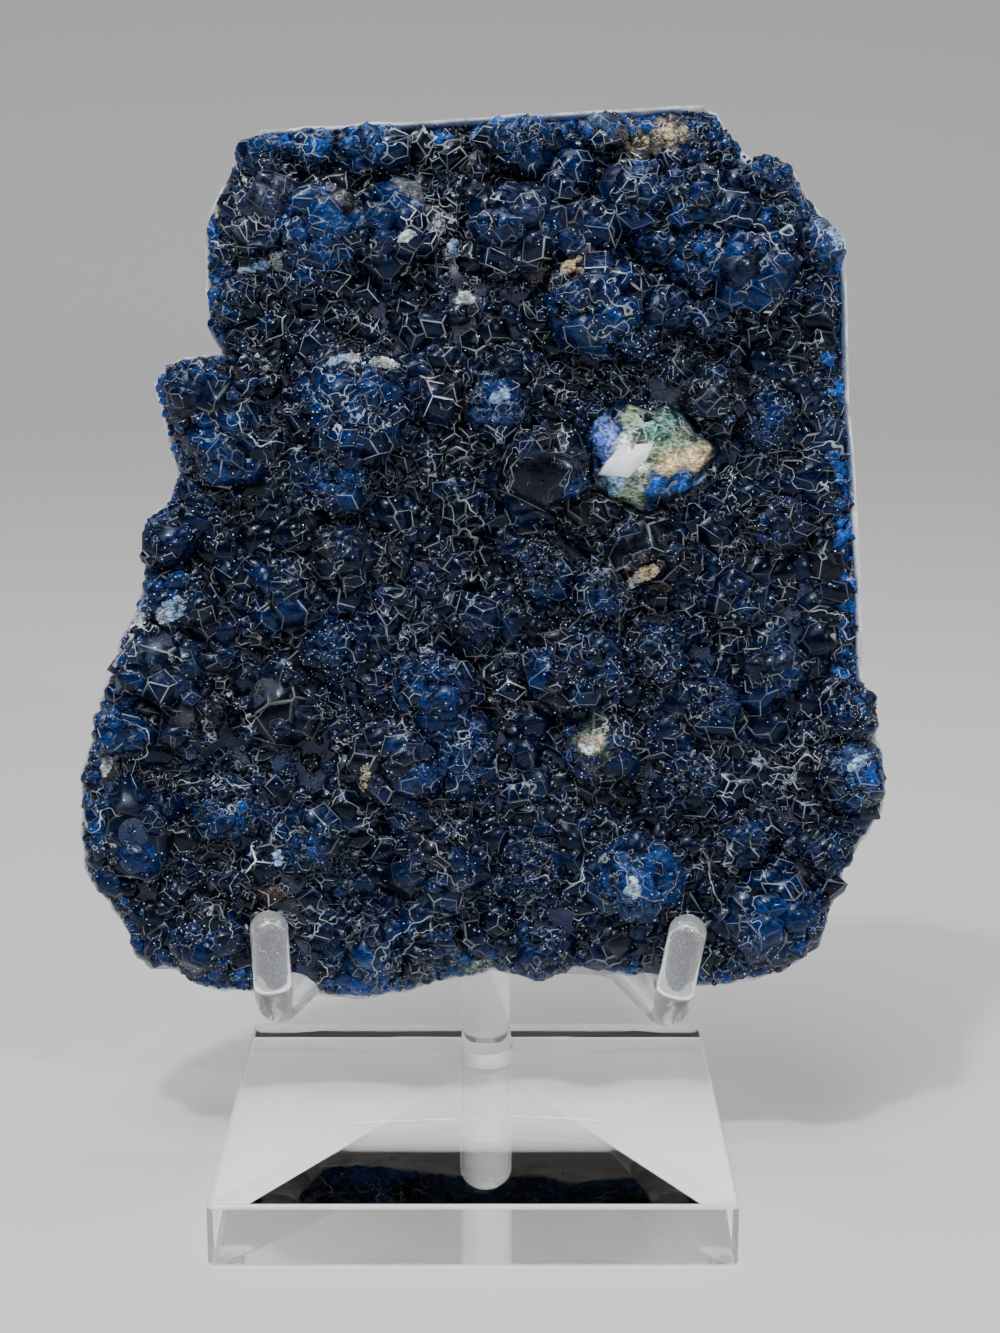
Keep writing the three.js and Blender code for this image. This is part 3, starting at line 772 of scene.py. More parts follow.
@dataclass(frozen=True)
class CleavedFinish:
    """White fluorite cleaved smooth."""

    name: str = "fluorite_cleaved"
    white: Colour = (0.90, 0.94, 0.95, 1.0)
    tinge: Colour = (0.62, 0.74, 0.80, 1.0)
    roughness: float = 0.22
    ior: float = 1.434
    patch_scale: float = 300.0

    def make(self, effects: Effects) -> bpy.types.Material:
        """White with a faint blue-green tinge in soft patches.

        Args:
            effects: the shared node groups.

        Returns:
            The material.
        """
        material, n = new_material(self.name)
        place = n.add("TexCoord").outputs["Object"]
        patches = n.group(effects.grain, {"Vector": place, "Scale": self.patch_scale})
        tinged = n.span(patches.outputs["Mask"], 0.3, 1.0, 0.0, 0.7)
        colour = n.mix(tinged, self.white, self.tinge)
        n.surface({"Base Color": colour, "Roughness": self.roughness, "IOR": self.ior})
        return material


@dataclass(frozen=True)
class AcrylicFinish:
    """Clear cast acrylic, polished or matt."""

    name: str
    roughness: float = 0.015
    tint: Colour = (0.985, 0.993, 0.995, 1.0)
    ior: float = 1.49
    transmission: float = 1.0
    shadow: float = 0.12

    def make(self) -> bpy.types.Material:
        """Clear through and through, letting most light reach the floor on shadow rays.

        Returns:
            The material.
        """
        material, n = new_material(self.name)
        ray = n.add("LightPath").outputs["Is Shadow Ray"]
        alpha = n.span(ray, 0.0, 1.0, 1.0, self.shadow)
        n.surface({
            "Base Color": self.tint,
            "Roughness": self.roughness,
            "IOR": self.ior,
            "Transmission Weight": self.transmission,
            "Alpha": alpha,
        })
        return material


@dataclass(frozen=True)
class PlateFrame:
    """The leaning plate's own frame: u to the right, v up its face and w out of its front."""

    lean: float = math.radians(8.0)
    foot: Place = (0.0, 16.0, 36.0)

    @property
    def axes(self) -> np.ndarray:
        """The directions of u, v and w as rows."""
        s, c = math.sin(self.lean), math.cos(self.lean)
        return np.array([(1, 0, 0), (0, s, c), (0, -c, s)])

    def world(self, plate_points: np.ndarray) -> np.ndarray:
        """From mm on the plate to mm in the shared frame: foot + u U + v V + w W."""
        return plate_points @ self.axes + np.array(self.foot)

    def local(self, points: np.ndarray) -> np.ndarray:
        """From mm in the shared frame to mm on the plate."""
        return (points - np.array(self.foot)) @ self.axes.T


@dataclass
class Arm:
    """A bent round rod that holds the plate: at the post, behind the plate, under its front, peg's tip."""

    name: str
    points: tuple[Place, ...]
    bends: tuple[float, float] = (10.0, 6.5)
    radius: float = 3.9
    tip_round: float = 3.4
    bend_steps: int = 15

    def corner_points(self) -> np.ndarray:
        """The corner points as an array."""
        return np.array(self.points)

    def distance(self, points: np.ndarray) -> np.ndarray:
        """Distance to the straight runs of the rod's middle line.

        Args:
            points: positions of shape (n, 3), in mm in the shared frame.

        Returns:
            The distance to the nearest run, for each point.
        """
        corners = self.corner_points()
        runs = [segment_distance(points, a, b) for a, b in zip(corners, corners[1:])]
        return np.minimum.reduce(runs)

    def middle_line(self) -> np.ndarray:
        """Straight runs joined by quadratic bends, (1 - t)^2 enter + 2 t (1 - t) corner + t^2 leave.

        A bend enters and leaves bend / tan(half the corner's angle) away from its corner.

        Returns:
            Points of shape (n, 3), in mm, from the post to the last bend.
        """
        corners = self.corner_points()
        line = [corners[:1]]
        t = np.linspace(0, 1, self.bend_steps)[:, None]
        for i, bend in enumerate(self.bends, start=1):
            back = corners[i - 1] - corners[i]
            on = corners[i + 1] - corners[i]
            back /= np.linalg.norm(back)
            on /= np.linalg.norm(on)
            cut = bend / math.tan(math.acos(back @ on) / 2)
            enter, leave = corners[i] + back * cut, corners[i] + on * cut
            line.append((1 - t) ** 2 * enter + 2 * t * (1 - t) * corners[i] + t**2 * leave)
        return np.concatenate(line)


LEFT_ARM = Arm("left_arm", ((2, 34.5, 35.8), (-31.2, 30, 35.8), (-41.1, -5.5, 35.8), (-41.6, -10.5, 57.8)))
RIGHT_ARM = Arm("right_arm", ((2, 34.5, 35), (30.3, 30, 35), (40.1, -5.5, 35), (43.6, -10.5, 57)))


@dataclass
class Relief:
    """The shape of the ground that the crystals stand on, in mm over the plate."""

    frame: PlateFrame = field(default_factory=PlateFrame)
    crust: float = 13.0
    ground: float = 10.9
    sink: float = 1.3
    softness: float = 1.1
    groove: tuple[float, float, float, float] = (0.5, 103.0, 55.0, 5.0)
    groove_depth: float = 3.0
    clearance: float = 0.35
    far_above: float = 60.0
    deepest: float = 4.5
    peg_span: tuple[float, float] = (-0.3, 1.1)
    lower_edge: float = 12.0
    slope_step: float = 0.4

    def height(self, uv: np.ndarray) -> np.ndarray:
        """Height of the ground: domes of the knobs and wavy crust, joined by a smooth maximum.

        A dome is crust + rise - sink - r + sqrt(r^2 - d^2) at a distance d from its middle, and falls
        off at a slope of 2 outside it. The smooth maximum is ln(sum exp(h / softness)) times softness.

        Args:
            uv: points on the plate, of shape (n, 2).

        Returns:
            One height for each point.
        """
        spread = on_plane(uv)
        base = self.ground + 1.1 * rough(spread, 15, 3) + 0.5 * rough(spread, 3.5, 7)
        u, top, bottom, width = self.groove
        along = smoothstep(top + 8, top - 4, uv[:, 1]) * smoothstep(bottom - 8, bottom + 4, uv[:, 1])
        drift = 3.0 * noise(spread * [0, 1, 0], 14, 5)
        base -= self.groove_depth * along * np.exp(-(((uv[:, 0] - u - drift) / width) ** 2))
        total = np.exp(base / self.softness)
        for ku, kv, radius, rise, _ in KNOBS:
            d = np.hypot(uv[:, 0] - ku, uv[:, 1] - kv)
            dome = np.sqrt(np.maximum(radius**2 - d**2, 0)) - 2.0 * np.maximum(d - radius, 0)
            total += np.exp((self.crust + rise - self.sink - radius + dome) / self.softness)
        height = np.log(total) * self.softness
        inward = edge_distance(uv)
        grown = 1 - saw_share(uv)
        fall = 3.2 * np.exp(-((np.maximum(inward, 0) / 3.0) ** 2))
        return np.minimum(height - fall * grown, self.peg_limit(uv))

    def peg_limit(self, uv: np.ndarray) -> np.ndarray:
        """The height at which the ground would touch a peg in front of it, less the clearance.

        Args:
            uv: places on the plate, of shape (n, 2).

        Returns:
            One height for each place, far above the plate where no peg stands.
        """
        limit = np.full(len(uv), self.far_above)
        for arm in (LEFT_ARM, RIGHT_ARM):
            bend, tip = self.frame.local(arm.corner_points()[2:])
            t = (uv[:, 1] - bend[1]) / (tip[1] - bend[1])
            du = uv[:, 0] - (bend[0] + t * (tip[0] - bend[0]))
            reach = arm.radius + self.clearance
            middle = bend[2] + t * (tip[2] - bend[2])
            hits = (np.abs(du) < reach) & (t > self.peg_span[0]) & (t < self.peg_span[1])
            depth = middle - np.sqrt(np.maximum(reach**2 - du**2, 0))
            limit = np.where(hits, np.minimum(limit, depth), limit)
        return limit

    def normal(self, uv: np.ndarray) -> np.ndarray:
        """The ground's direction outwards: (-dh/du, -dh/dv, 1), made one long.

        Args:
            uv: places on the plate, of shape (n, 2).

        Returns:
            Directions of shape (n, 3).
        """
        step = self.slope_step
        du = self.height(uv + [step, 0]) - self.height(uv - [step, 0])
        dv = self.height(uv + [0, step]) - self.height(uv - [0, step])
        direction = np.stack([-du / (2 * step), -dv / (2 * step), np.ones(len(uv))], axis=1)
        return unit(direction)

    def lifted(self, points: np.ndarray) -> np.ndarray:
        """Raises the plate's lower edge over the arms: v is at least that of a round groove on each arm.

        Args:
            points: plate points of shape (..., 3), in mm.

        Returns:
            The points with v raised where an arm runs below them.
        """
        out = points.copy()
        for arm in (LEFT_ARM, RIGHT_ARM):
            back, bend = self.frame.local(arm.corner_points()[1:3])
            t = (points[..., 2] - back[2]) / (bend[2] - back[2])
            du = points[..., 0] - (back[0] + t * (bend[0] - back[0]))
            reach = arm.radius + self.clearance
            axis = back[1] + t * (bend[1] - back[1])
            floor = axis + np.sqrt(np.maximum(reach**2 - du**2, 0))
            hits = (np.abs(du) < reach) & (points[..., 1] < self.lower_edge)
            out[..., 1] = np.where(hits, np.maximum(out[..., 1], floor), out[..., 1])
        return out


def colour_at(uv: np.ndarray, random: np.random.Generator) -> np.ndarray:
    """The colour of each crystal: navy to royal in soft patches, then the spots' own tones.

    Some crystals are smoky, and many at the rim are painted azure, a painted glow of light through the thin
    edge, as are the azure spots. A spot's weight falls as exp(-(d / radius)^4) around a place that noise
    moves by up to 2 mm.

    Args:
        uv: the crystals' places on the plate, of shape (n, 2).
        random: the source of the differences between neighbours.

    Returns:
        Linear colours of shape (n, 3).
    """
    spread = on_plane(uv)
    patch = 0.5 + 0.9 * rough(spread, 22, 21)
    own = random.random(len(uv))
    share = np.clip(0.5 * patch + 0.7 * own**1.3 - 0.1, 0, 1)[:, None]
    rgb = blend(Tone.NAVY.rgb, Tone.ROYAL.rgb, share)
    smoky = (random.random(len(uv)) < SMOKY_SHARE)[:, None] * 0.7
    rgb = blend(rgb, Tone.SMOKE.rgb, smoky)
    # painted glow: crystals near the rim turn azure
    rim = np.exp(-((edge_distance(uv) / 2.6) ** 2)) * smoothstep(-0.25, 0.35, rough(spread, 14, 23))
    rim = (0.75 * rim * random.random(len(uv)) ** 0.5)[:, None]
    rgb = blend(rgb, Tone.AZURE.rgb, rim)
    warped = uv + 2.0 * np.stack([rough(spread, 7, 24), rough(spread, 7, 25)], axis=1)
    for spot in SPOTS:
        d = np.linalg.norm(warped - (spot.u, spot.v), axis=1) / spot.radius
        weight = spot.strength * np.exp(-(d**4)) * (0.2 + 1.0 * random.random(len(uv)))
        weight = np.clip(weight, 0, 1)[:, None]
        rgb = blend(rgb, spot.tone.rgb, weight)
    return rgb


def lace_at(uv: np.ndarray) -> np.ndarray:
    """How strong the painted highlight on the crystals' edges is: 0.42 + exp(-(d / r)^2) of the nearest
    circle of LACE, up to 1.
    """
    d = np.linalg.norm(uv[:, None] - LACE[None, :, :2], axis=2) / LACE[:, 2]
    return np.clip(0.42 + np.exp(-(d**2)).max(axis=1), 0, 1)


@dataclass(frozen=True)
class CrystalForm:
    """A crystal of mean radius 1 as triangles, and which of their sides are edges of the crystal."""

    points: np.ndarray
    faces: np.ndarray
    normals: np.ndarray
    sharp: np.ndarray


def crystal_form(random: np.random.Generator, cube_share: float) -> CrystalForm:
    """Intersects the twelve dodecahedron planes and six cube planes, each at a distance of its own.

    Args:
        random: the source of the distances.
        cube_share: 0 for a plain dodecahedron, up to 1 for one cut into a cube.

    Returns:
        The crystal's form.
    """
    directions = [d for d in product((-1, 0, 1), repeat=3) if 1 <= np.abs(d).sum() <= 2]
    normals = np.array(directions, float)
    is_cube = np.abs(normals).sum(axis=1) == 1
    normals = unit(normals)
    distance = np.where(is_cube, 1.45 - 0.55 * cube_share, 1.0) * random.uniform(0.86, 1.1, len(normals))
    return hull_form(normals, distance)


def lump_form(random: np.random.Generator, facets: int) -> CrystalForm:
    """A ball of grown-together crystals: flat facets all round it, at nearly one distance.

    The facets' directions follow a spiral of equal areas, z = 1 - (2 i + 1) / n, each moved at random.

    Args:
        random: the source.
        facets: how many.

    Returns:
        The lump's form.
    """
    i = np.arange(facets)
    z = 1 - (2 * i + 1) / facets
    angle = i * math.pi * (3 - math.sqrt(5))
    flat = np.sqrt(1 - z**2)
    normals = np.stack([flat * np.cos(angle), flat * np.sin(angle), z], axis=1)
    normals += random.normal(size=normals.shape) * 0.7 / math.sqrt(facets)
    normals = unit(normals)
    return hull_form(normals, random.uniform(0.90, 1.05, facets))


def hull_form(normals: np.ndarray, distance: np.ndarray) -> CrystalForm:
    """The solid inside all the planes p . normal = distance.

    Corners are all meetings of three planes that lie within the others, and the faces are their hull's.
    A side is an edge of the crystal where the triangles beside it lie on two planes.

    Args:
        normals: the planes' directions, of shape (n, 3).
        distance: each plane's distance from the middle.

    Returns:
        The form, scaled to a mean radius of 1.
    """
    triples = np.array(list(combinations(range(len(normals)), 3)))
    matrices = normals[triples]
    solvable = np.abs(np.linalg.det(matrices)) > 1e-3
    corners = np.linalg.solve(matrices[solvable], distance[triples[solvable]][..., None])[..., 0]
    corners = corners[(corners @ normals.T <= distance + 1e-6).all(axis=1)]
    corners = np.unique(corners.round(6), axis=0)
    bm = bmesh.new()
    for point in corners:
        bm.verts.new(point)
    bmesh.ops.convex_hull(bm, input=bm.verts, use_existing_faces=False)
    bmesh.ops.delete(bm, geom=[v for v in bm.verts if not v.link_faces], context="VERTS")
    bm.verts.index_update()
    hull = np.array([v.co for v in bm.verts])
    faces = np.array([[v.index for v in f.verts] for f in bm.faces])
    bm.free()
    hull /= np.linalg.norm(hull, axis=1).mean()
    a, b, c = (hull[faces[:, i]] for i in range(3))
    outward = np.cross(b - a, c - a)
    inside_out = np.einsum("ij,ij->i", outward, a) < 0
    faces[inside_out] = faces[inside_out][:, ::-1]
    outward[inside_out] *= -1
    outward = unit(outward)
    plane = (outward @ normals.T).argmax(axis=1)
    ends = np.sort(np.stack([np.delete(faces, side, axis=1) for side in range(3)], axis=1), axis=2)
    numbers, owner = np.unique(ends[..., 0] * len(hull) + ends[..., 1], return_inverse=True)
    owner = owner.reshape(-1, 3)
    lowest = np.full(len(numbers), len(normals))
    highest = np.full(len(numbers), -1)
    np.minimum.at(lowest, owner, plane[:, None])
    np.maximum.at(highest, owner, plane[:, None])
    return CrystalForm(hull, faces, outward, (lowest != highest)[owner])


def side_distances(triangles: np.ndarray, sharp: np.ndarray) -> np.ndarray:
    """Each corner's distance in mm to the three sides of its triangle, which a face then blends.

    A corner is the doubled area / the side's length away from the side opposite it, and 0 from the
    other two. A side within a flat face counts as 10 mm away.

    Args:
        triangles: corners of shape (n, f, 3, 3).
        sharp: for each of the f triangles, which of its sides are edges of the crystal.

    Returns:
        Three distances for each corner, of shape (n, f, 3, 3).
    """
    a, b, c = (triangles[..., i, :] for i in range(3))
    doubled = np.linalg.norm(np.cross(b - a, c - a), axis=-1)
    lengths = np.stack([np.linalg.norm(side, axis=-1) for side in (c - b, a - c, b - a)], axis=-1)
    heights = doubled[..., None] / np.maximum(lengths, 1e-6)
    return np.where(sharp[:, None, :], heights[..., None, :] * np.eye(3), 10.0)


def random_turns(random: np.random.Generator, count: int) -> np.ndarray:
    """Rotation matrices spread evenly over all directions, from random unit quaternions.

    Args:
        random: the source.
        count: how many.

    Returns:
        Matrices of shape (count, 3, 3).
    """
    w, x, y, z = unit(random.normal(size=(count, 4))).T
    rows = [
        [1 - 2 * (y * y + z * z), 2 * (x * y - z * w), 2 * (x * z + y * w)],
        [2 * (x * y + z * w), 1 - 2 * (x * x + z * z), 2 * (y * z - x * w)],
        [2 * (x * z - y * w), 2 * (y * z + x * w), 1 - 2 * (x * x + y * y)],
    ]
    return np.array(rows).transpose(2, 0, 1)


@dataclass
class Scatter:
    """Crystals of one size on the plate, in mm."""

    centres: np.ndarray
    radii: np.ndarray
    tints: np.ndarray
    gloss: np.ndarray
    lace: np.ndarray

    def chosen(self, mask: np.ndarray) -> "Scatter":
        """Only the crystals that the mask keeps."""
        return Scatter(*[getattr(self, item.name)[mask] for item in fields(self)])


def local_grain(uv: np.ndarray) -> np.ndarray:
    """Radius of the crystals at each place: that of the knob it lies on, 0 on smooth ones, else -1.

    A knob's top falls by 0.6 d^2 / radius away from its middle, and the highest top counts.

    Args:
        uv: places on the plate, of shape (n, 2).

    Returns:
        One radius for each place.
    """
    grain = np.full(len(uv), -1.0)
    highest = np.zeros(len(uv))
    for ku, kv, radius, rise, size in KNOBS:
        d = np.hypot(uv[:, 0] - ku, uv[:, 1] - kv)
        top = rise - 0.6 * d**2 / radius
        on = (d < radius * 0.98) & (top > highest)
        grain[on] = size
        highest[on] = top[on]
    return grain


@dataclass(frozen=True)
class Layer:
    """One size of crystal: its spacing, radii, how deep it sits, and how common it is where."""

    name: str
    spacing: float
    radii: tuple[float, float]
    depth: float
    on_grain: tuple[float, float]
    elsewhere: float
    on_ground: float
    grouped: bool = False

    def share(self, grain: np.ndarray) -> np.ndarray:
        """How common the crystals are at each local grain size.

        Args:
            grain: radius of the crystals on the knob, 0 on smooth knobs, negative between knobs.

        Returns:
            1 in the layer's own range of grain, less on other knobs and on the ground between.
        """
        low, high = self.on_grain
        mine = (grain >= low) & (grain < high)
        share = np.where(mine, 1.0, self.elsewhere)
        share = np.where(grain < 0, self.on_ground, share)
        return np.where(grain == 0, 0.5 * self.elsewhere, share)


LAYERS = (
    Layer("crystals_large", 4.6, (2.6, 4.8), 0.26, (3.3, 9.0), 0.22, 0.80, True),
    Layer("crystals_medium", 3.0, (1.5, 2.9), 0.22, (1.7, 3.3), 0.30, 0.62, True),
    Layer("crystals_small", 2.1, (0.8, 1.5), -0.05, (0.5, 1.7), 0.16, 0.26),
    Layer("crystals_fine", 1.55, (0.45, 0.8), -0.6, (0.5, 1.7), 0.05, 0.12),
)


@dataclass(frozen=True)
class BrokenKnob:
    """The knob that broke off: a low dome in several colours, and the white cleaved crystal on it."""

    relief: Relief
    radius: float = 14.2
    squash: float = 0.82
    rise: float = 7.6
    rings: int = 64
    around: int = 190
    foot_spread: float = 1.25
    foot_depth: float = 5.0

    def height(self, uv: np.ndarray, edge: np.ndarray, share: np.ndarray) -> np.ndarray:
        """The knob's height: a low dome, rise (1 - e^2.6) - 3 e^9, under one leaning facet a mark.

        Args:
            uv: places on the plate.
            edge: each point's share e of the way from the middle to the knob's edge.
            share: how much of each of the marks of BREAK a point has.

        Returns:
            Heights in mm on the plate.
        """
        random = np.random.default_rng(12)
        marks = np.array([(u, v) for u, v, _ in BREAK])
        offset = random.uniform(-1.2, 1.2, len(marks))
        lean = random.uniform(-0.42, 0.42, (len(marks), 2))
        facet = offset + ((uv[:, None] - marks) * lean).sum(axis=2)
        height = self.rise * (1 - edge**2.6) - 3.0 * edge**9 + (facet * share).sum(axis=1)
        spread = on_plane(uv)
        steps = np.round(2.5 * noise(spread * [1, 1.6, 1], 2.6, 81)) / 2.5
        return self.relief.crust + height + 0.3 * steps + 0.25 * rough(spread, 1.1, 82)

    def dome(self) -> bpy.types.Object:
        """Rings about the knob's middle, in the colours of BREAK.

        Each point takes the marks' tones by 1 / distance^9, and thin pale lines run where noise is near 0.

        Returns:
            The piece with its tint, gloss and paleness.
        """
        t = np.linspace(0, 1, self.rings + 1)[1:, None]
        angle = np.linspace(0, 2 * math.pi, self.around, endpoint=False)[None]
        reach = 1 + 0.07 * np.sin(3 * angle + 1) + 0.03 * np.sin(7 * angle) + 0.03 * np.sin(11 * angle)
        reach = self.radius * reach
        across = self.squash * t * reach * np.sin(angle)
        uv = np.stack([t * reach * np.cos(angle), across], axis=-1) + BROKEN
        flat = np.concatenate([uv.reshape(-1, 2), [BROKEN, BROKEN]])
        edge = np.concatenate([np.repeat(t[:, 0], self.around), [0.0, 0.0]])
        marks = np.array([(u, v) for u, v, _ in BREAK])
        tones = np.array([tone.rgb for _, _, tone in BREAK])
        spread = on_plane(flat)
        warped = flat + 1.1 * np.stack([rough(spread, 2.5, 83), rough(spread, 2.5, 84)], axis=1)
        gaps = np.linalg.norm(warped[:, None] - marks[None], axis=2) + 0.05
        share = gaps**-9.0
        share /= share.sum(axis=1, keepdims=True)
        height = self.height(flat, edge, share)
        height[-1] = self.relief.deepest
        points = np.column_stack([flat, height])
        world = self.relief.frame.world(points) * MM
        shell = world[:-2].reshape(self.rings, self.around, 3)
        piece = ring_surface("crystals_break", shell, world[-2], world[-1])
        smooth_piece(piece, 20)
        grain = 1.15 + 0.9 * rough(points, 1.5, 85) + 0.5 * noise(points, 0.55, 86)
        tint = (share @ tones) * np.clip(grain, 0.12, 1.5)[:, None]
        rim = smoothstep(0.74, 0.92, edge + 0.22 * rough(points, 3.2, 90))[:, None]
        tint = blend(tint, Tone.NAVY.rgb, rim)
        ridge = 1 - np.abs(noise(points, 1.7, 87))
        lines = smoothstep(0.90, 0.985, ridge) * (0.5 + 0.5 * noise(points, 4, 88)) * (1 - rim[:, 0])
        put_attribute(piece, "tint", with_alpha(np.clip(tint, 0, 1)), "POINT")
        put_attribute(piece, "gloss", 0.30 + 0.15 * noise(points, 1.0, 89), "POINT")
        put_attribute(piece, "pale", 0.8 * lines, "POINT")
        return piece

    def chip(self) -> bpy.types.Object:
        """The white cleaved crystal on the broken knob: a flat face over a wider foot.

        Returns:
            The piece.
        """
        middle = CHIP.mean(axis=0)
        foot = middle + (CHIP - middle) * self.foot_spread - [0, 0, self.foot_depth]
        rings = self.relief.frame.world(np.stack([CHIP, foot])) * MM
        return ring_surface("crystals_chip", rings, rings[0].mean(axis=0), rings[1].mean(axis=0))


@dataclass
class Plate:
    """The fluorite plate: one ground surface and the crystals that stand on it."""

    relief: Relief = field(default_factory=Relief)
    buried: Relief = field(default_factory=lambda: Relief(sink=2.9))
    middle: tuple[float, float] = (0.0, 85.0)
    around: int = 480
    front_rings: int = 72
    side_rings: int = 8
    back_rings: int = 44
    worn_corner: tuple[float, float] = (51.0, 175.0)
    net_reach: tuple[tuple[int, int], tuple[int, int]] = ((-88, 90), (-6, 188))
    net_share: float = 0.72
    rim_gap: float = 0.8
    smallest: float = 0.3
    satellites: int = 7
    satellite_reach: tuple[float, float] = (0.7, 0.85)
    satellite_size: tuple[float, float] = (0.26, 0.46)
    rim_radii: tuple[float, float] = (1.0, 1.9)
    rim_share: float = 0.62
    druse_radii: tuple[float, float] = (0.3, 0.75)
    grain_radii: tuple[float, float] = (0.09, 0.24)
    # painted shade by height: the darkest share, the share added on top, and the heights it spans
    darkest: float = 0.20
    lighter: float = 0.43
    light_span: tuple[float, float] = (8.5, 18.0)
    edge_contrast: float = 2.4
    edge_width: tuple[float, float] = (0.4, 0.3)
    stand_gap: float = 0.3
    widest: float = 1.15
    grain_density: float = 0.55
    flattened: tuple[float, float, float] = (1.16, 1.06, 0.86)
    resting: list[np.ndarray] = field(default_factory=list)
    grown: list[Scatter] = field(default_factory=list)
    node: str = "fluorite_plate"
    slot: str = "fluorite"

    def rim(self) -> np.ndarray:
        """Even steps along the outline, moved in and out a little where the edge grew.

        Returns:
            Places of shape (around, 2).
        """
        closed = np.concatenate([OUTLINE, OUTLINE[:1]])
        lengths = np.concatenate([[0], np.cumsum(np.linalg.norm(np.diff(closed, axis=0), axis=1))])
        steps = np.linspace(0, lengths[-1], self.around, endpoint=False)
        rim = np.stack([np.interp(steps, lengths, closed[:, i]) for i in range(2)], axis=1)
        spread = on_plane(rim)
        wave = 0.7 * noise(spread, 4.5, 31) + 0.45 * noise(spread, 1.7, 32)
        grown = 1 - saw_share(rim)
        outward = unit(rim - np.array(self.middle))
        return rim + outward * ((wave - 0.35) * grown + 0.06 * wave * (1 - grown))[:, None]

    def ground(self) -> bpy.types.Object:
        """The closed ground surface: front rings, side wall and back rings about one middle line.

        A ring at share t of the way from the middle to the rim holds middle + t (rim - middle).

        Returns:
            The ground piece with its attributes.
        """
        middle = np.array(self.middle)
        rim = self.rim()
        t = 1 - (1 - np.linspace(0, 1, self.front_rings + 1)[1:]) ** 1.3
        front_uv = middle + t[:, None, None] * (rim - middle)
        flat = front_uv.reshape(-1, 2)
        front = np.column_stack([flat, self.buried.height(flat)])
        front = front.reshape(self.front_rings, self.around, 3)
        t_back = np.linspace(1, 0, self.back_rings + 1)[:-1]
        back_uv = (middle + t_back[:, None, None] * (rim - middle)).reshape(-1, 2)
        back = np.column_stack([back_uv, self.back_height(back_uv)])
        back = back.reshape(self.back_rings, self.around, 3)
        share = np.linspace(0, 1, self.side_rings + 2)[1:-1, None, None]
        side = blend(front[-1], back[0], share)
        grown = (1 - saw_share(rim))[None, :]
        inward = unit(middle - rim)
        dent = (0.9 + 0.9 * rough(side, 6, 41)) * grown * np.sin(np.pi * share[..., 0]) ** 0.5
        side[..., :2] += inward * dent[..., None]
        rings = np.concatenate([front, side, back])
        ends = np.array([middle, middle])
        tops = np.array([self.buried.height(ends[:1])[0], self.back_height(ends[:1])[0]])
        ends = np.column_stack([ends, tops])
        rings = self.relief.lifted(rings)
        world = self.relief.frame.world
        piece = ring_surface("fluorite_ground", world(rings) * MM, world(ends[0]) * MM, world(ends[1]) * MM)
        plate_points = np.concatenate([rings.reshape(-1, 3), ends])
        smooth_piece(piece, 50)
        self.ground_attributes(piece, plate_points, len(front) * self.around)
        return piece

    def ground_attributes(self, piece: bpy.types.Object, points: np.ndarray, front_count: int) -> None:
        """Stores the plate place, the share of crust and the tint of each ground point.

        The front's edge is white in a strip whose width wanders and grows at the worn corner.

        Args:
            piece: the ground.
            points: its points on the plate, of shape (n, 3).
            front_count: how many of the first points are in front.
        """
        random = np.random.default_rng(5)
        inward = edge_distance(points[:, :2])
        crust = np.zeros(len(points))
        crust[:front_count] = smoothstep(0.7, 1.5, inward[:front_count])
        crust[-2] = 1
        tint = colour_at(points[:, :2], random) * 0.5
        edge = np.arange(len(points)) < front_count
        spread = points * [1, 1, 0]
        corner = np.linalg.norm(points[:, :2] - self.worn_corner, axis=1)
        wide = 0.35 + 0.9 * np.maximum(rough(spread, 7, 35), 0) + 1.3 * np.exp(-((corner / 9) ** 2))
        edge = (edge * (1 - smoothstep(0.0, 0.45, inward - wide)))[:, None]
        crust = np.maximum(crust, edge[:, 0])
        worn = np.clip(0.75 + 0.5 * rough(points, 1.6, 36), 0.3, 1.1)[:, None]
        tint = blend(tint, Tone.WHITE.rgb * worn, edge)
        put_attribute(piece, "plate", points, "POINT")
        put_attribute(piece, "crust", crust, "POINT")
        put_attribute(piece, "tint", with_alpha(tint), "POINT")

    def back_height(self, uv: np.ndarray) -> np.ndarray:
        """The broken back: low lumps between 0.5 and 3.4 mm, and one that rests on the post.

        Args:
            uv: places on the plate, of shape (n, 2).

        Returns:
            One height for each place, in mm, a little higher at the rim.
        """
        spread = on_plane(uv)
        broken = np.abs(noise(spread, 11, 53)) + 0.5 * np.abs(noise(spread, 5, 54))
        height = 1.4 + 1.2 * rough(spread, 24, 51) + 0.4 * rough(spread, 3, 52) + 1.1 * broken
        rest = np.exp(-(((uv[:, 0] - 2) / 9) ** 2) - ((uv[:, 1] - 102) / 9) ** 2)
        height = blend(height, 1.0, rest)
        inward = edge_distance(uv)
        return np.clip(height, 0.5, 3.4) + 1.2 * np.exp(-((np.maximum(inward, 0) / 2.0) ** 2))

    def net(self, random: np.random.Generator, spacing: float) -> np.ndarray:
        """A triangular net over the plate, each point moved at random by up to 0.45 of the spacing.

        Args:
            random: the source.
            spacing: from point to point, in mm.

        Returns:
            Places of shape (n, 2), some of them off the plate.
        """
        (left, right), (low, high) = self.net_reach
        rows = np.arange(low, high, spacing * math.sin(math.pi / 3))
        columns = np.arange(left, right, spacing)
        u, v = np.meshgrid(columns, rows)
        u = u + (np.arange(len(rows)) % 2)[:, None] * spacing / 2
        uv = np.stack([u.ravel(), v.ravel()], axis=1)
        return uv + random.uniform(-0.45, 0.45, uv.shape) * spacing

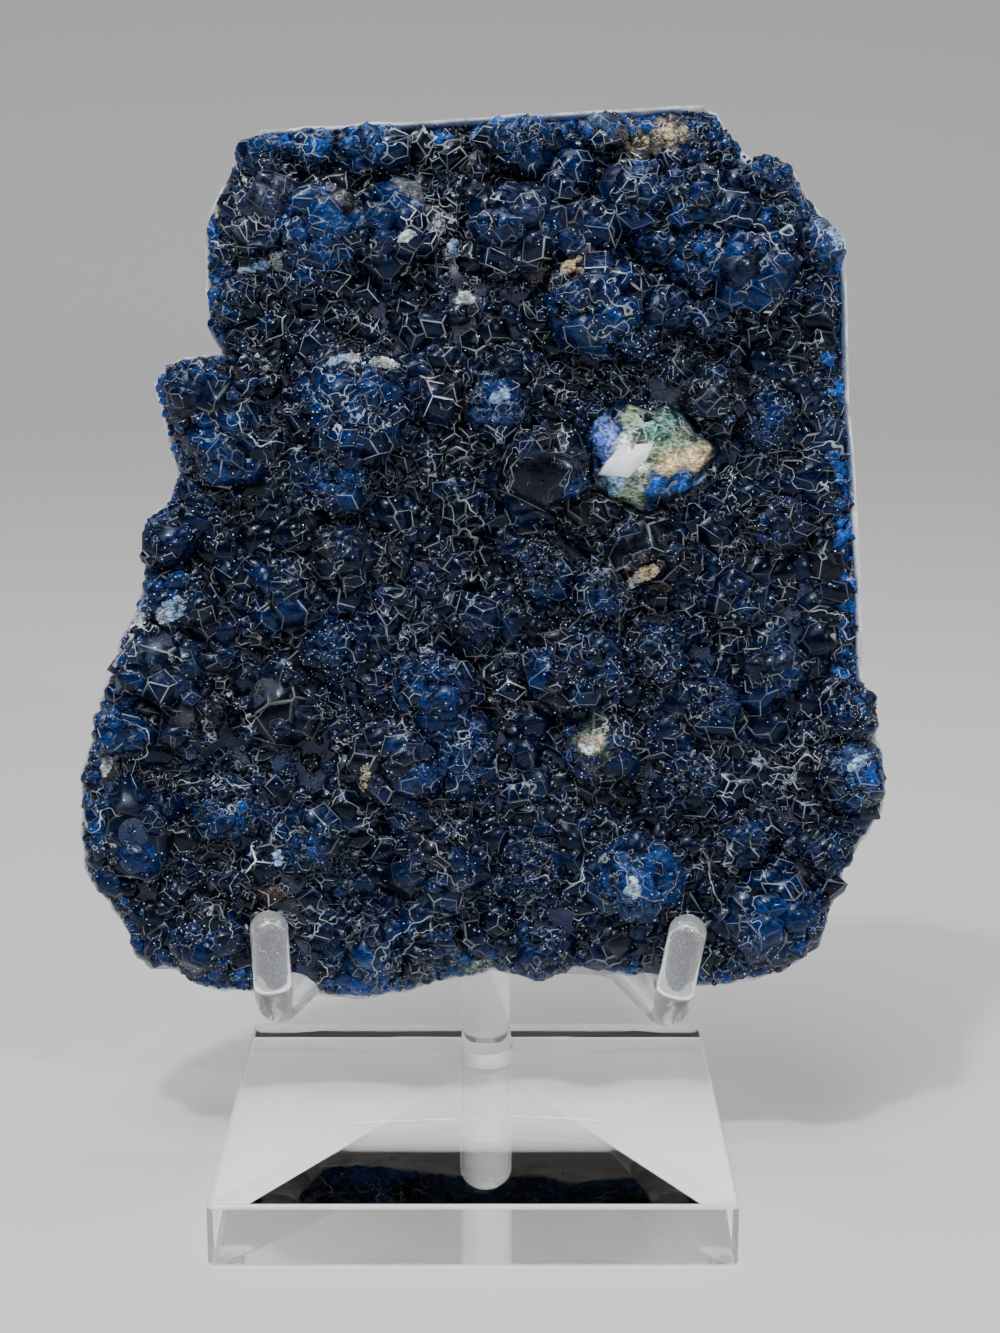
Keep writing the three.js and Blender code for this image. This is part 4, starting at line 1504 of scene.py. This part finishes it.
    def scatter(self, random: np.random.Generator, layer: Layer) -> Scatter:
        """Crystals of one layer all over the front.

        The net is finer than the spacing and thinned out by the slope, so that steep sides hold as
        many crystals for their area as flat ground does.

        Args:
            random: the source.
            layer: the spacing, sizes and places of this layer's crystals.

        Returns:
            The crystals, clear of the rim and the stand.
        """
        uv = self.net(random, layer.spacing * self.net_share)
        inward = edge_distance(uv)
        uv, inward = uv[inward > self.rim_gap], inward[inward > self.rim_gap]
        normal = self.relief.normal(uv)
        wanted = np.minimum(self.net_share**2 / normal[:, 2], 1) * layer.share(local_grain(uv))
        keep = random.random(len(uv)) < wanted
        uv, inward, normal = uv[keep], inward[keep], normal[keep]
        low, high = layer.radii
        radius = low + (high - low) * random.random(len(uv)) ** 1.5
        radius = np.minimum(radius, (inward - 0.6) / 0.95)
        height = self.relief.height(uv)
        centres = np.column_stack([uv, height]) - normal * (layer.depth * radius)[:, None]
        found = self.dressed(centres, radius, uv, random)
        return found.chosen((radius > self.smallest) & self.clear_of_stand(centres, radius))

    def dressed(self, centres: np.ndarray, radius: np.ndarray, uv: np.ndarray,
                random: np.random.Generator) -> Scatter:
        """Crystals with the colour, gloss and painted edge highlight of their place, under a painted shade
        that darkens them low between the knobs and lifts towards the rim.

        Args:
            centres: their middles on the plate, of shape (n, 3).
            radius: their radii.
            uv: the places that give them their colour.
            random: the source.

        Returns:
            The crystals.
        """
        # painted shade: darker low between the knobs, lifted near the rim
        light = self.exposure(centres[:, 2])
        light = np.maximum(light, 0.9 * np.exp(-((edge_distance(uv) / 4.5) ** 2)))
        tints = colour_at(uv, random) * light[:, None]
        gloss = random.uniform(0.05, 0.28, len(uv))
        return Scatter(centres, radius, tints, gloss, lace_at(uv))

    def lumps(self, random: np.random.Generator) -> Scatter:
        """The knobs' own balls, each with smaller balls, its satellites, grown out of its flanks.

        Satellite_reach and satellite_size are shares of the knob's radius.

        Args:
            random: the source.

        Returns:
            The lumps, clear of the rim and the stand.
        """
        u, v, radius, rise, _ = KNOBS.T
        core = np.minimum(radius, edge_distance(KNOBS[:, :2]) - 0.5)
        whole = np.linalg.norm(KNOBS[:, :2] - BROKEN, axis=1) > 1
        u, v, rise, core = u[whole], v[whole], rise[whole], core[whole]
        middle = np.stack([u, v, self.relief.crust + rise - core * 1.02], axis=1)
        shape = (len(u), self.satellites)
        around = random.uniform(0, 2 * math.pi, shape)
        above = random.uniform(-0.1, 0.75, shape)
        flat = np.sqrt(1 - above**2)
        direction = np.stack([flat * np.cos(around), flat * np.sin(around), above], axis=2)
        out = core * random.uniform(*self.satellite_reach, len(u))
        grown = middle[:, None] + direction * out[:, None, None]
        small = core[:, None] * random.uniform(*self.satellite_size, shape)
        centres = np.concatenate([middle, grown.reshape(-1, 3)])
        sizes = np.concatenate([core * 0.97, small.ravel()])
        sizes = np.minimum(sizes, edge_distance(centres[:, :2]) - 0.5)
        found = self.dressed(centres, sizes, centres[:, :2], random)
        return found.chosen((sizes > 0.8) & self.clear_of_stand(centres, sizes))

    def rim_crystals(self, random: np.random.Generator) -> Scatter:
        """Two rows of glassy blue crystals side by side all along the edge, just inside it.

        Inwards is the direction in which the distance to the outline grows.

        Args:
            random: the source.

        Returns:
            The crystals, with a painted azure glow that is strongest along the saw cuts.
        """
        rim = self.rim()
        step = 0.3
        inward = np.stack([
            edge_distance(rim + [step, 0]) - edge_distance(rim - [step, 0]),
            edge_distance(rim + [0, step]) - edge_distance(rim - [0, step]),
        ], axis=1)
        inward /= np.maximum(np.linalg.norm(inward, axis=1, keepdims=True), 1e-6)
        radius = random.uniform(*self.rim_radii, (2, len(rim)))
        offset = radius * 1.02 + 0.65 + np.array([[0.0], [1.9]])
        uv = (rim[None] + inward[None] * offset[..., None]).reshape(-1, 2)
        radius = radius.ravel()
        keep = random.random(len(uv)) < self.rim_share
        uv, radius = uv[keep], radius[keep]
        radius = np.minimum(radius, edge_distance(uv) - 0.25)
        height = self.relief.height(uv) + random.uniform(-0.7, 0.4, len(uv))
        found = self.dressed(np.column_stack([uv, height]), radius, uv, random)
        # painted glow: the rim crystals turn azure, most along the saw cuts
        cut = saw_share(self.rim_place(uv))[:, None] * 0.75 + 0.25
        blue = cut * random.random((len(uv), 1)) ** 0.7
        found.tints = blend(found.tints, Tone.AZURE.rgb * 1.2, blue)
        return found.chosen((radius > 0.5) & self.clear_of_stand(found.centres, radius))

    def rim_place(self, uv: np.ndarray) -> np.ndarray:
        """The nearest of the rim's points to each point."""
        rim = self.rim()
        return rim[np.linalg.norm(uv[:, None] - rim[None], axis=2).argmin(axis=1)]

    def druse(self, random: np.random.Generator) -> Scatter:
        """The patches of DRUSES: tiny crystals spread evenly over ellipses, as (L cos a, W sin a) sqrt(t).

        Args:
            random: the source.

        Returns:
            The crystals, clear of the rim and the stand.
        """
        places, heights, tones = [], [], []
        for patch in DRUSES:
            count = int(12 + 14 * patch.length * patch.width)
            reach = np.sqrt(random.random(count))
            angle = random.uniform(0, 2 * math.pi, count)
            along, across = patch.length * reach * np.cos(angle), patch.width * reach * np.sin(angle)
            c, s = math.cos(math.radians(patch.turn)), math.sin(math.radians(patch.turn))
            u, v = patch.u + along * c - across * s, patch.v + along * s + across * c
            places.append(np.stack([u, v], axis=1))
            heights.append(np.full(count, patch.above))
            tones.append(np.repeat(patch.tone.rgb[None], count, axis=0))
        uv = np.concatenate(places)
        radius = random.uniform(*self.druse_radii, len(uv))
        height = self.top_at(uv) + (np.concatenate(heights) - 0.8) * random.uniform(0.4, 1.0, len(uv))
        shade = random.uniform(0.55, 1.1, len(uv))[:, None]
        tints = np.clip(np.concatenate(tones) * shade, 0, 1)
        centres = np.column_stack([uv, height])
        found = Scatter(centres, radius, tints, random.uniform(0.1, 0.4, len(uv)), np.ones(len(uv)))
        inside = edge_distance(uv) > radius + 0.2
        return found.chosen(inside & self.clear_of_stand(centres, radius))

    def top_at(self, uv: np.ndarray) -> np.ndarray:
        """Height of the crystals' tops: the highest c + 0.86 sqrt((0.85 r)^2 - d^2) over all of them.

        Args:
            uv: points on the plate, of shape (n, 2).

        Returns:
            One height for each point, that of the ground where no crystal covers it.
        """
        centres = np.concatenate([scatter.centres for scatter in self.grown])
        reach = 0.85 * np.concatenate([scatter.radii for scatter in self.grown])
        gap = np.linalg.norm(uv[:, None] - centres[None, :, :2], axis=2)
        rise = self.flattened[2] * np.sqrt(np.maximum(reach**2 - gap**2, 0))
        tops = np.where(gap < reach, centres[:, 2] + rise, -np.inf).max(axis=1)
        return np.maximum(tops, self.relief.height(uv))

    def sparkles(self, random: np.random.Generator) -> Scatter:
        """Tiny white grains that lie on the faces of the crystals, in drifts, fewer towards the top.

        Args:
            random: the source.

        Returns:
            The grains, clear of the stand.
        """
        centres = np.concatenate(self.resting)
        spread = centres * [1, 1, 0]
        drift = smoothstep(-0.35, 0.6, rough(spread, 30, 71)) * smoothstep(165, 115, centres[:, 1])
        open_air = centres[:, 2] > self.relief.height(centres[:, :2]) + 0.3
        keep = open_air & (random.random(len(centres)) < 0.15 + 0.85 * drift)
        centres = centres[keep & (edge_distance(centres[:, :2]) > 1.0)]
        count = len(centres)
        radius = random.uniform(*self.grain_radii, count) * random.uniform(0.7, 1.0, count)
        white = np.repeat(Tone.WHITE.rgb[None], count, axis=0)
        found = Scatter(centres, radius, white, np.full(count, 0.3), np.ones(count))
        return found.chosen(self.clear_of_stand(centres, radius))

    def exposure(self, height: np.ndarray) -> np.ndarray:
        """Painted shade: crystals low between the knobs are darker than those on top, a third as light at the
        bottom.
        """
        return self.darkest + self.lighter * smoothstep(*self.light_span, height)

    def clear_of_stand(self, centres: np.ndarray, radius: np.ndarray) -> np.ndarray:
        """True for crystals that stay clear of both arms, at their widest.

        Args:
            centres: their middles on the plate, of shape (n, 3).
            radius: their radii.

        Returns:
            One answer for each crystal.
        """
        world = self.relief.frame.world(centres)
        nearest = np.minimum(*[arm.distance(world) - arm.radius for arm in (LEFT_ARM, RIGHT_ARM)])
        return nearest > self.stand_gap + self.widest * radius

    def crystals(self, name: str, scatter: Scatter, forms: list[CrystalForm],
                 random: np.random.Generator) -> list[bpy.types.Object]:
        """Joined crystals, as pieces of fewer than 200,000 triangles.

        Each crystal is centre + turn (stretch * form), for whole groups that share a form.

        Args:
            name: start of the pieces' names.
            scatter: the crystals.
            forms: the forms that are drawn from.
            random: the source.

        Returns:
            The pieces.
        """
        self.grown.append(scatter)
        order = np.argsort(scatter.centres[:, 1])
        scatter = scatter.chosen(order)
        most = max(len(form.faces) for form in forms)
        parts = math.ceil(len(scatter.radii) * most / MOST_TRIANGLES)
        pieces = []
        for part, index in enumerate(np.array_split(np.arange(len(scatter.radii)), parts), start=1):
            full_name = f"{name}_{part}" if parts > 1 else name
            pieces.append(self.crystal_piece(full_name, scatter.chosen(index), forms, random))
        return pieces

    def crystal_piece(self, name: str, scatter: Scatter, forms: list[CrystalForm],
                      random: np.random.Generator) -> bpy.types.Object:
        """One piece of joined crystals with their tint, gloss, painted sheen on faces that look up and
        painted edge highlights.

        Args:
            name: the piece's name.
            scatter: the crystals.
            forms: the forms that are drawn from.
            random: the source.

        Returns:
            The piece.
        """
        count = len(scatter.radii)
        choice = random.integers(len(forms), size=count)
        turns = random_turns(random, count)
        stretch = scatter.radii[:, None] * random.uniform(0.82, 1.18, (count, 3))
        edge_light = random.random(count)
        points, faces, pale, painted_top_sheen, sides, tints, gloss = [], [], [], [], [], [], []
        offset = 0
        for number, form in enumerate(forms):
            mine = choice == number
            size = mine.sum()
            stretched = form.points[None] * stretch[mine][:, None, :]
            placed = np.einsum("nij,nvj->nvi", turns[mine], stretched) * self.flattened
            placed += scatter.centres[mine][:, None]
            placed[..., 2] = np.maximum(placed[..., 2], self.relief.deepest + 0.02 * placed[..., 2])
            starts = offset + np.arange(size)[:, None, None] * len(form.points)
            faces.append((form.faces[None] + starts).reshape(-1, 3))
            offset += size * len(form.points)
            # painted sheen: faces that look up are painted paler, as if lit from above, and a few others at
            # random
            up = np.einsum("nij,fj->nfi", turns[mine], form.normals)[..., 1]
            top = smoothstep(0.15, 0.85, up) * random.uniform(0.1, 0.9, size)[:, None]
            painted_top_sheen.append((top + 0.12 * random.random(up.shape) ** 3).ravel())
            # painted edge highlight: how pale each face's edges are painted
            lit = random.random(up.shape) ** self.edge_contrast
            pale.append((lit * edge_light[mine][:, None] * scatter.lace[mine][:, None]).ravel())
            triangles = placed[:, form.faces]
            least, growth = self.edge_width
            scale = least + growth * scatter.radii[mine][:, None, None, None]
            sides.append((side_distances(triangles, form.sharp) / scale).reshape(-1, 3))
            self.resting.append(self.resting_places(triangles.reshape(-1, 3, 3), random))
            points.append(placed.reshape(-1, 3))
            tints.append(np.repeat(scatter.tints[mine], len(form.points), axis=0))
            gloss.append(np.repeat(scatter.gloss[mine], len(form.points)))
        world = self.relief.frame.world(np.concatenate(points)) * MM
        piece = new_object(name, world, np.concatenate(faces))
        put_attribute(piece, "tint", with_alpha(np.concatenate(tints)), "POINT")
        put_attribute(piece, "gloss", np.concatenate(gloss), "POINT")
        put_attribute(piece, "pale", np.concatenate(pale), "FACE")
        put_attribute(piece, "painted_top_sheen", np.clip(np.concatenate(painted_top_sheen), 0, 1), "FACE")
        put_attribute(piece, "side", np.concatenate(sides), "CORNER")
        return piece

    def resting_places(self, triangles: np.ndarray, random: np.random.Generator) -> np.ndarray:
        """Places on the faces that look out of the front, where a sparkling grain can lie.

        A triangle is drawn with a chance of its area * density, and the place is a random blend of its
        corners.

        Args:
            triangles: corners of shape (n, 3, 3), in mm on the plate.
            random: the source.

        Returns:
            Plate points of shape (m, 3).
        """
        a, b, c = (triangles[:, i] for i in range(3))
        across = np.cross(b - a, c - a)
        area = np.linalg.norm(across, axis=1) / 2
        drawn = (random.random(len(area)) < area * self.grain_density) & (across[:, 2] > 0)
        shares = random.dirichlet((1, 1, 1), drawn.sum())
        return np.einsum("ni,nij->nj", shares, triangles[drawn])

    def build(self, effects: Effects) -> list[bpy.types.Object]:
        """Makes every piece of the plate and dresses it.

        Args:
            effects: the shared node groups.

        Returns:
            The pieces.
        """
        random = np.random.default_rng(2)
        single = [crystal_form(random, s) for s in (0.0, 0.0, 0.25, 0.45, 0.1, 0.0, 0.35, 0.2, 0.9, 0.7)]
        grouped = [lump_form(random, facets) for facets in (15, 18, 21)]
        balls = [lump_form(random, facets) for facets in (14, 17, 20, 24)]
        octahedron = np.array(list(product((-1.0, 1.0), repeat=3))) / math.sqrt(3)
        grain = hull_form(octahedron, np.ones(8))
        pieces = [self.ground()]
        pieces[0].data.materials.append(MatrixFinish().make(effects))
        crystal = CrystalFinish().make(effects)
        dressed = self.crystals("crystals_lumps", self.lumps(random), balls + grouped, random)
        broken = BrokenKnob(self.relief)
        dressed.append(broken.dome())
        pieces.append(broken.chip())
        pieces[-1].data.materials.append(CleavedFinish().make(effects))
        dressed += self.crystals("crystals_rim", self.rim_crystals(random), single, random)
        for layer in LAYERS:
            forms = single + grouped if layer.grouped else single
            dressed += self.crystals(layer.name, self.scatter(random, layer), forms, random)
        dressed += self.crystals("crystals_druse", self.druse(random), single, random)
        dressed += self.crystals("crystals_sparkle", self.sparkles(random), [grain], random)
        for piece in dressed:
            piece.data.materials.append(crystal)
            pieces.append(piece)
        for piece in pieces:
            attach(piece, BODY)
            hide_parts(self.node)
        return pieces


def turned(start: np.ndarray, tangent_from: np.ndarray, tangent_to: np.ndarray) -> np.ndarray:
    """Turns a vector s by the smallest turn from one tangent to the next: s c + a x s + a (a . s) / (1 + c).

    Args:
        start: the vector s.
        tangent_from: the first tangent, one long.
        tangent_to: the next, one long. Their cross product is a, and their dot product is c.

    Returns:
        The turned vector.
    """
    axis = np.cross(tangent_from, tangent_to)
    cosine = tangent_from @ tangent_to
    return start * cosine + np.cross(axis, start) + axis * (axis @ start) / (1 + cosine)


@dataclass
class Stand:
    """The acrylic stand: square base, round post and two bent arms."""

    side: float = 101.6
    thick: float = 12.7
    corner: float = 1.6
    edge: float = 0.8
    post_at: tuple[float, float] = (2.0, 35.8)
    post_radius: float = 5.4
    post_top: float = 138.5
    dome: float = 3.2
    socket_depth: float = 11.0
    gap: float = 0.3
    round_steps: int = 6
    post_sides: int = 96
    arm_sides: int = 48
    post_foot: float = 0.5
    clear: AcrylicFinish = AcrylicFinish("acrylic_clear")
    edged: AcrylicFinish = AcrylicFinish("acrylic_edge", 0.22, (0.95, 0.97, 0.98, 1.0), transmission=0.4)
    rod: AcrylicFinish = AcrylicFinish("acrylic_rod", 0.04, (0.97, 0.98, 0.985, 1.0), transmission=0.92)

    def square(self, inset: float) -> np.ndarray:
        """The base's rounded square, drawn in by an inset: 9 points on each corner, 23 on each side.

        Args:
            inset: how far it is drawn in, in mm, less than the corner's radius.

        Returns:
            Points of shape (128, 2), turning left from the right side.
        """
        half = self.side / 2 - self.corner
        radius = self.corner - inset
        corners = []
        for quarter in range(4):
            angle = (quarter + np.linspace(0, 1, 9)) * math.pi / 2
            facing = math.pi / 4 + quarter * math.pi / 2
            middle = half * math.sqrt(2) * np.array([math.cos(facing), math.sin(facing)])
            corners.append(middle + radius * np.stack([np.cos(angle), np.sin(angle)], axis=1))
        points = []
        share = np.linspace(0, 1, 25)[1:-1, None]
        for here, there in zip(corners, corners[1:] + corners[:1]):
            points.append(here)
            points.append(blend(here[-1], there[0], share))
        return np.concatenate(points)

    def base(self) -> bpy.types.Object:
        """The base block: rings of its rounded square up its side, then in to the post's socket.

        The edges and the socket take the sawn finish, and the faces the clear one.

        Returns:
            The piece with both materials.
        """
        turn = np.linspace(0, math.pi / 2, self.round_steps + 1)
        rings = [(self.edge * (1 - math.sin(a)), self.edge * (1 - math.cos(a))) for a in turn]
        rings += [(inset, self.thick - z) for inset, z in reversed(rings)]
        post = np.array(self.post_at)
        away = unit(self.square(0) - post)
        rows = [np.column_stack([self.square(inset), np.full(len(away), z)]) for inset, z in rings]
        floor = self.thick - self.socket_depth
        radius = self.post_radius + self.gap
        for r, z in ((radius + 0.25, self.thick), (radius, self.thick - 0.25), (radius, floor)):
            rows.append(np.column_stack([post + away * r, np.full(len(away), z)]))
        outer = len(rings)
        ends = np.array([(*post, 0.0), (*post, floor)])
        piece = ring_surface("base_block", np.array(rows) * MM, ends[0] * MM, ends[1] * MM)
        piece.data.materials.append(self.clear.make())
        piece.data.materials.append(self.edged.make())
        count = len(away)
        index = np.zeros(len(piece.data.polygons), np.int32)
        wall_end = (outer + 2) * count
        index[:self.round_steps * count] = 1
        index[(self.round_steps + 1) * count:(outer - 1) * count] = 1
        index[outer * count:wall_end] = 1
        index[wall_end + count:] = 1
        piece.data.polygons.foreach_set("material_index", index)
        smooth_piece(piece)
        return piece

    def post(self) -> bpy.types.Object:
        """The round post: circles up its length, drawn in by a quarter round at both ends.

        Returns:
            The piece.
        """
        bottom = self.thick - self.socket_depth + self.gap
        turn = np.linspace(0, math.pi / 2, self.round_steps + 1)
        foot, wide = self.post_foot, self.post_radius
        profile = [(wide - foot * (1 - math.sin(a)), bottom + foot * (1 - math.cos(a))) for a in turn]
        start = self.post_top - self.dome
        inner = wide - self.dome
        profile += [(inner + self.dome * math.cos(a), start + self.dome * math.sin(a)) for a in turn]
        radius, z = np.array(profile).T
        angle = np.linspace(0, 2 * math.pi, self.post_sides, endpoint=False)
        x = self.post_at[0] + radius[:, None] * np.cos(angle)
        y = self.post_at[1] + radius[:, None] * np.sin(angle)
        rings = np.stack([x, y, np.broadcast_to(z[:, None], x.shape)], axis=-1)
        ends = np.array([(*self.post_at, bottom), (*self.post_at, self.post_top)])
        piece = ring_surface("post_rod", rings * MM, ends[0] * MM, ends[1] * MM)
        smooth_piece(piece)
        return piece

    def arm(self, arm: Arm) -> bpy.types.Object:
        """A bent arm: circles carried along its middle line, with a round tip and an end that fits the post.

        Each circle's first direction is the one before it, turned as the line turns.

        Args:
            arm: the arm's line and sizes.

        Returns:
            The arm piece.
        """
        tip = arm.corner_points()[-1]
        line = arm.middle_line()
        up = tip - arm.corner_points()[-2]
        up /= np.linalg.norm(up)
        turn = np.linspace(0, math.pi / 2, 9)
        inner = arm.radius - arm.tip_round
        cap = tip + up * (arm.tip_round * (np.sin(turn) - 1))[:, None]
        cap_radius = inner + arm.tip_round * np.cos(turn)
        path = np.concatenate([line, cap])
        radius = np.concatenate([np.full(len(line), arm.radius), cap_radius])
        tangent = np.gradient(path, axis=0)
        tangent[0] = line[1] - line[0]
        tangent[len(line):] = up
        tangent = unit(tangent)
        first = np.cross(tangent[0], (0, 0, 1.0))
        sides = [first / np.linalg.norm(first)]
        for before, after in zip(tangent, tangent[1:]):
            sides.append(turned(sides[-1], before, after))
        sides = np.array(sides)
        others = np.cross(tangent, sides)
        angle = np.linspace(0, 2 * math.pi, self.arm_sides, endpoint=False)
        reach = np.cos(angle)[None, :, None] * sides[:, None] + np.sin(angle)[None, :, None] * others[:, None]
        rings = path[:, None] + radius[:, None, None] * reach
        shrink = np.array([0.4, 0.75])[:, None, None]
        seat = path[0] + shrink * (rings[0] - path[0])
        rings = np.concatenate([seat, rings])
        rings[:3] = self.on_post(rings[:3], tangent[0])
        start = self.on_post(path[0][None], tangent[0])[0]
        piece = ring_surface(arm.name + "_rod", rings * MM, start * MM, tip * MM)
        smooth_piece(piece)
        return piece

    def on_post(self, points: np.ndarray, direction: np.ndarray) -> np.ndarray:
        """Moves points along a level direction to where they meet the post's round, a gap away from it.

        Solves |p + t d - post| = radius + gap for its larger t.

        Args:
            points: positions of shape (..., 3), in mm.
            direction: the way that they move.

        Returns:
            The moved points.
        """
        flat = points[..., :2] - np.array(self.post_at)
        d = direction[:2] / np.linalg.norm(direction[:2])
        along = flat @ d
        reach = self.post_radius + self.gap
        t = -along + np.sqrt(np.maximum(along**2 - (flat**2).sum(axis=-1) + reach**2, 0))
        moved = points.copy()
        moved[..., :2] += t[..., None] * d
        return moved

    def build(self) -> list[bpy.types.Object]:
        """Makes the base, the post and the arms, each in place of its solid.

        Returns:
            The pieces.
        """
        base = self.base()
        rod_finish = self.rod.make()
        rods = {"post": self.post(), "left_arm": self.arm(LEFT_ARM), "right_arm": self.arm(RIGHT_ARM)}
        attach(base, BODY)
        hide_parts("base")
        for node, rod in rods.items():
            rod.data.materials.append(rod_finish)
            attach(rod, BODY)
            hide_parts(node)
        return [base, *rods.values()]


@dataclass(frozen=True)
class SoftLight:
    """A large soft lamp: where it is, what it looks at, its size and its power."""

    name: str
    place: Place
    size: tuple[float, float]
    power: float
    target: Place = (0.0, 0.0, 0.12)

    def make(self) -> None:
        """Adds the lamp to the scene."""
        data = bpy.data.lights.new(self.name, "AREA")
        data.shape = "RECTANGLE"
        data.size, data.size_y = self.size
        data.energy = self.power
        lamp = placed_object(self.name, data)
        lamp.location = self.place
        aim = lamp.location.copy()
        aim.x, aim.y, aim.z = (t - p for t, p in zip(self.target, self.place))
        lamp.rotation_euler = aim.to_track_quat("-Z", "Y").to_euler()


@dataclass
class Studio:
    """The pale floor, the soft light and the camera."""

    floor_colour: Colour = (0.62, 0.62, 0.63, 1.0)
    world_colour: Colour = (0.86, 0.88, 0.92, 1.0)
    world_strength: float = 0.12
    sun_strength: float = 1.5
    sun_angle: float = 24.0
    sun_turn: tuple[float, float] = (17.0, -25.0)
    air_gap: float = 0.0001
    floor_reach: float = 6.0
    backdrop_at: float = 1.6
    backdrop_bend: float = 0.6
    backdrop_top: float = 3.0
    lens: float = 69.9
    sensor: float = 36.0
    camera_place: Place = (0.00515, -0.5102, 0.2149)
    camera_tilt: float = 78.01
    lights: tuple[SoftLight, ...] = (
        SoftLight("key", (-0.55, -0.65, 0.85), (0.5, 0.5), 2.6),
        SoftLight("side", (0.85, -0.35, 0.55), (0.2, 0.9), 1.4),
        SoftLight("top", (0.0, 0.15, 0.95), (0.8, 0.3), 3.6),
        SoftLight("sparkle", (-0.25, -0.5, 1.1), (0.06, 0.06), 7.0),
        SoftLight("glint", (0.45, -0.75, 0.6), (0.05, 0.05), 3.6),
    )

    def floor(self) -> bpy.types.Object:
        """A floor that curves up into a backdrop: flat, a quarter circle of the bend, then upright.

        It lies a hair below the base, whose underside then mirrors as real acrylic does over air.

        Returns:
            The floor, marked as the stage.
        """
        angle = np.linspace(0, math.pi / 2, 24)
        bend, start = self.backdrop_bend, self.backdrop_at
        y = np.concatenate([[-self.floor_reach], start + bend * np.sin(angle), [start + bend]])
        z = np.concatenate([[0.0], bend * (1 - np.cos(angle)), [self.backdrop_top]]) - self.air_gap
        x = np.array([-self.floor_reach, self.floor_reach])
        grid = np.stack(np.broadcast_arrays(x[None, :], y[:, None], z[:, None]), axis=-1)
        first = np.arange(len(y) - 1)[:, None] * 2
        faces = first + np.array([0, 1, 3, 2])
        piece = new_object("floor", grid.reshape(-1, 3), faces)
        piece.data.shade_smooth()
        material, n = new_material("floor")
        n.surface({"Base Color": self.floor_colour, "Roughness": 0.7})
        piece.data.materials.append(material)
        return piece

    def sun(self) -> None:
        """An even, soft light from the upper left in front, so that the floor is pale all over."""
        data = bpy.data.lights.new("even", "SUN")
        data.energy = self.sun_strength
        data.angle = math.radians(self.sun_angle)
        lamp = placed_object("even", data)
        lamp.rotation_euler = (math.radians(self.sun_turn[0]), 0.0, math.radians(self.sun_turn[1]))

    def camera(self) -> None:
        """The camera of the photograph, solved from the square base."""
        data = bpy.data.cameras.new("camera")
        data.lens = self.lens
        data.sensor_width = self.sensor
        camera = placed_object("camera", data)
        camera.location = self.camera_place
        camera.rotation_euler = (math.radians(self.camera_tilt), 0.0, 0.0)
        bpy.context.scene.camera = camera

    def build(self) -> None:
        """Sets up the whole studio."""
        world = bpy.data.worlds.new("studio")
        world.use_nodes = True
        n = Nodes(world.node_tree)
        sky = n.add("Background", {"Color": self.world_colour, "Strength": self.world_strength})
        n.add("OutputWorld", {"Surface": sky.outputs[0]})
        bpy.context.scene.world = world
        self.floor()
        for light in self.lights:
            light.make()
        self.sun()
        self.camera()


def main() -> None:
    """Builds the studio, the stand and the plate, and reports each piece."""
    logging.basicConfig(level=logging.INFO, format="%(name)s: %(message)s")
    Studio().build()
    effects = Effects(grain_group(), speckle_group())
    for piece in (*Stand().build(), *Plate().build(effects)):
        log.info("%s: %d faces", piece.name, len(piece.data.polygons))


if __name__ == "__main__":
    main()
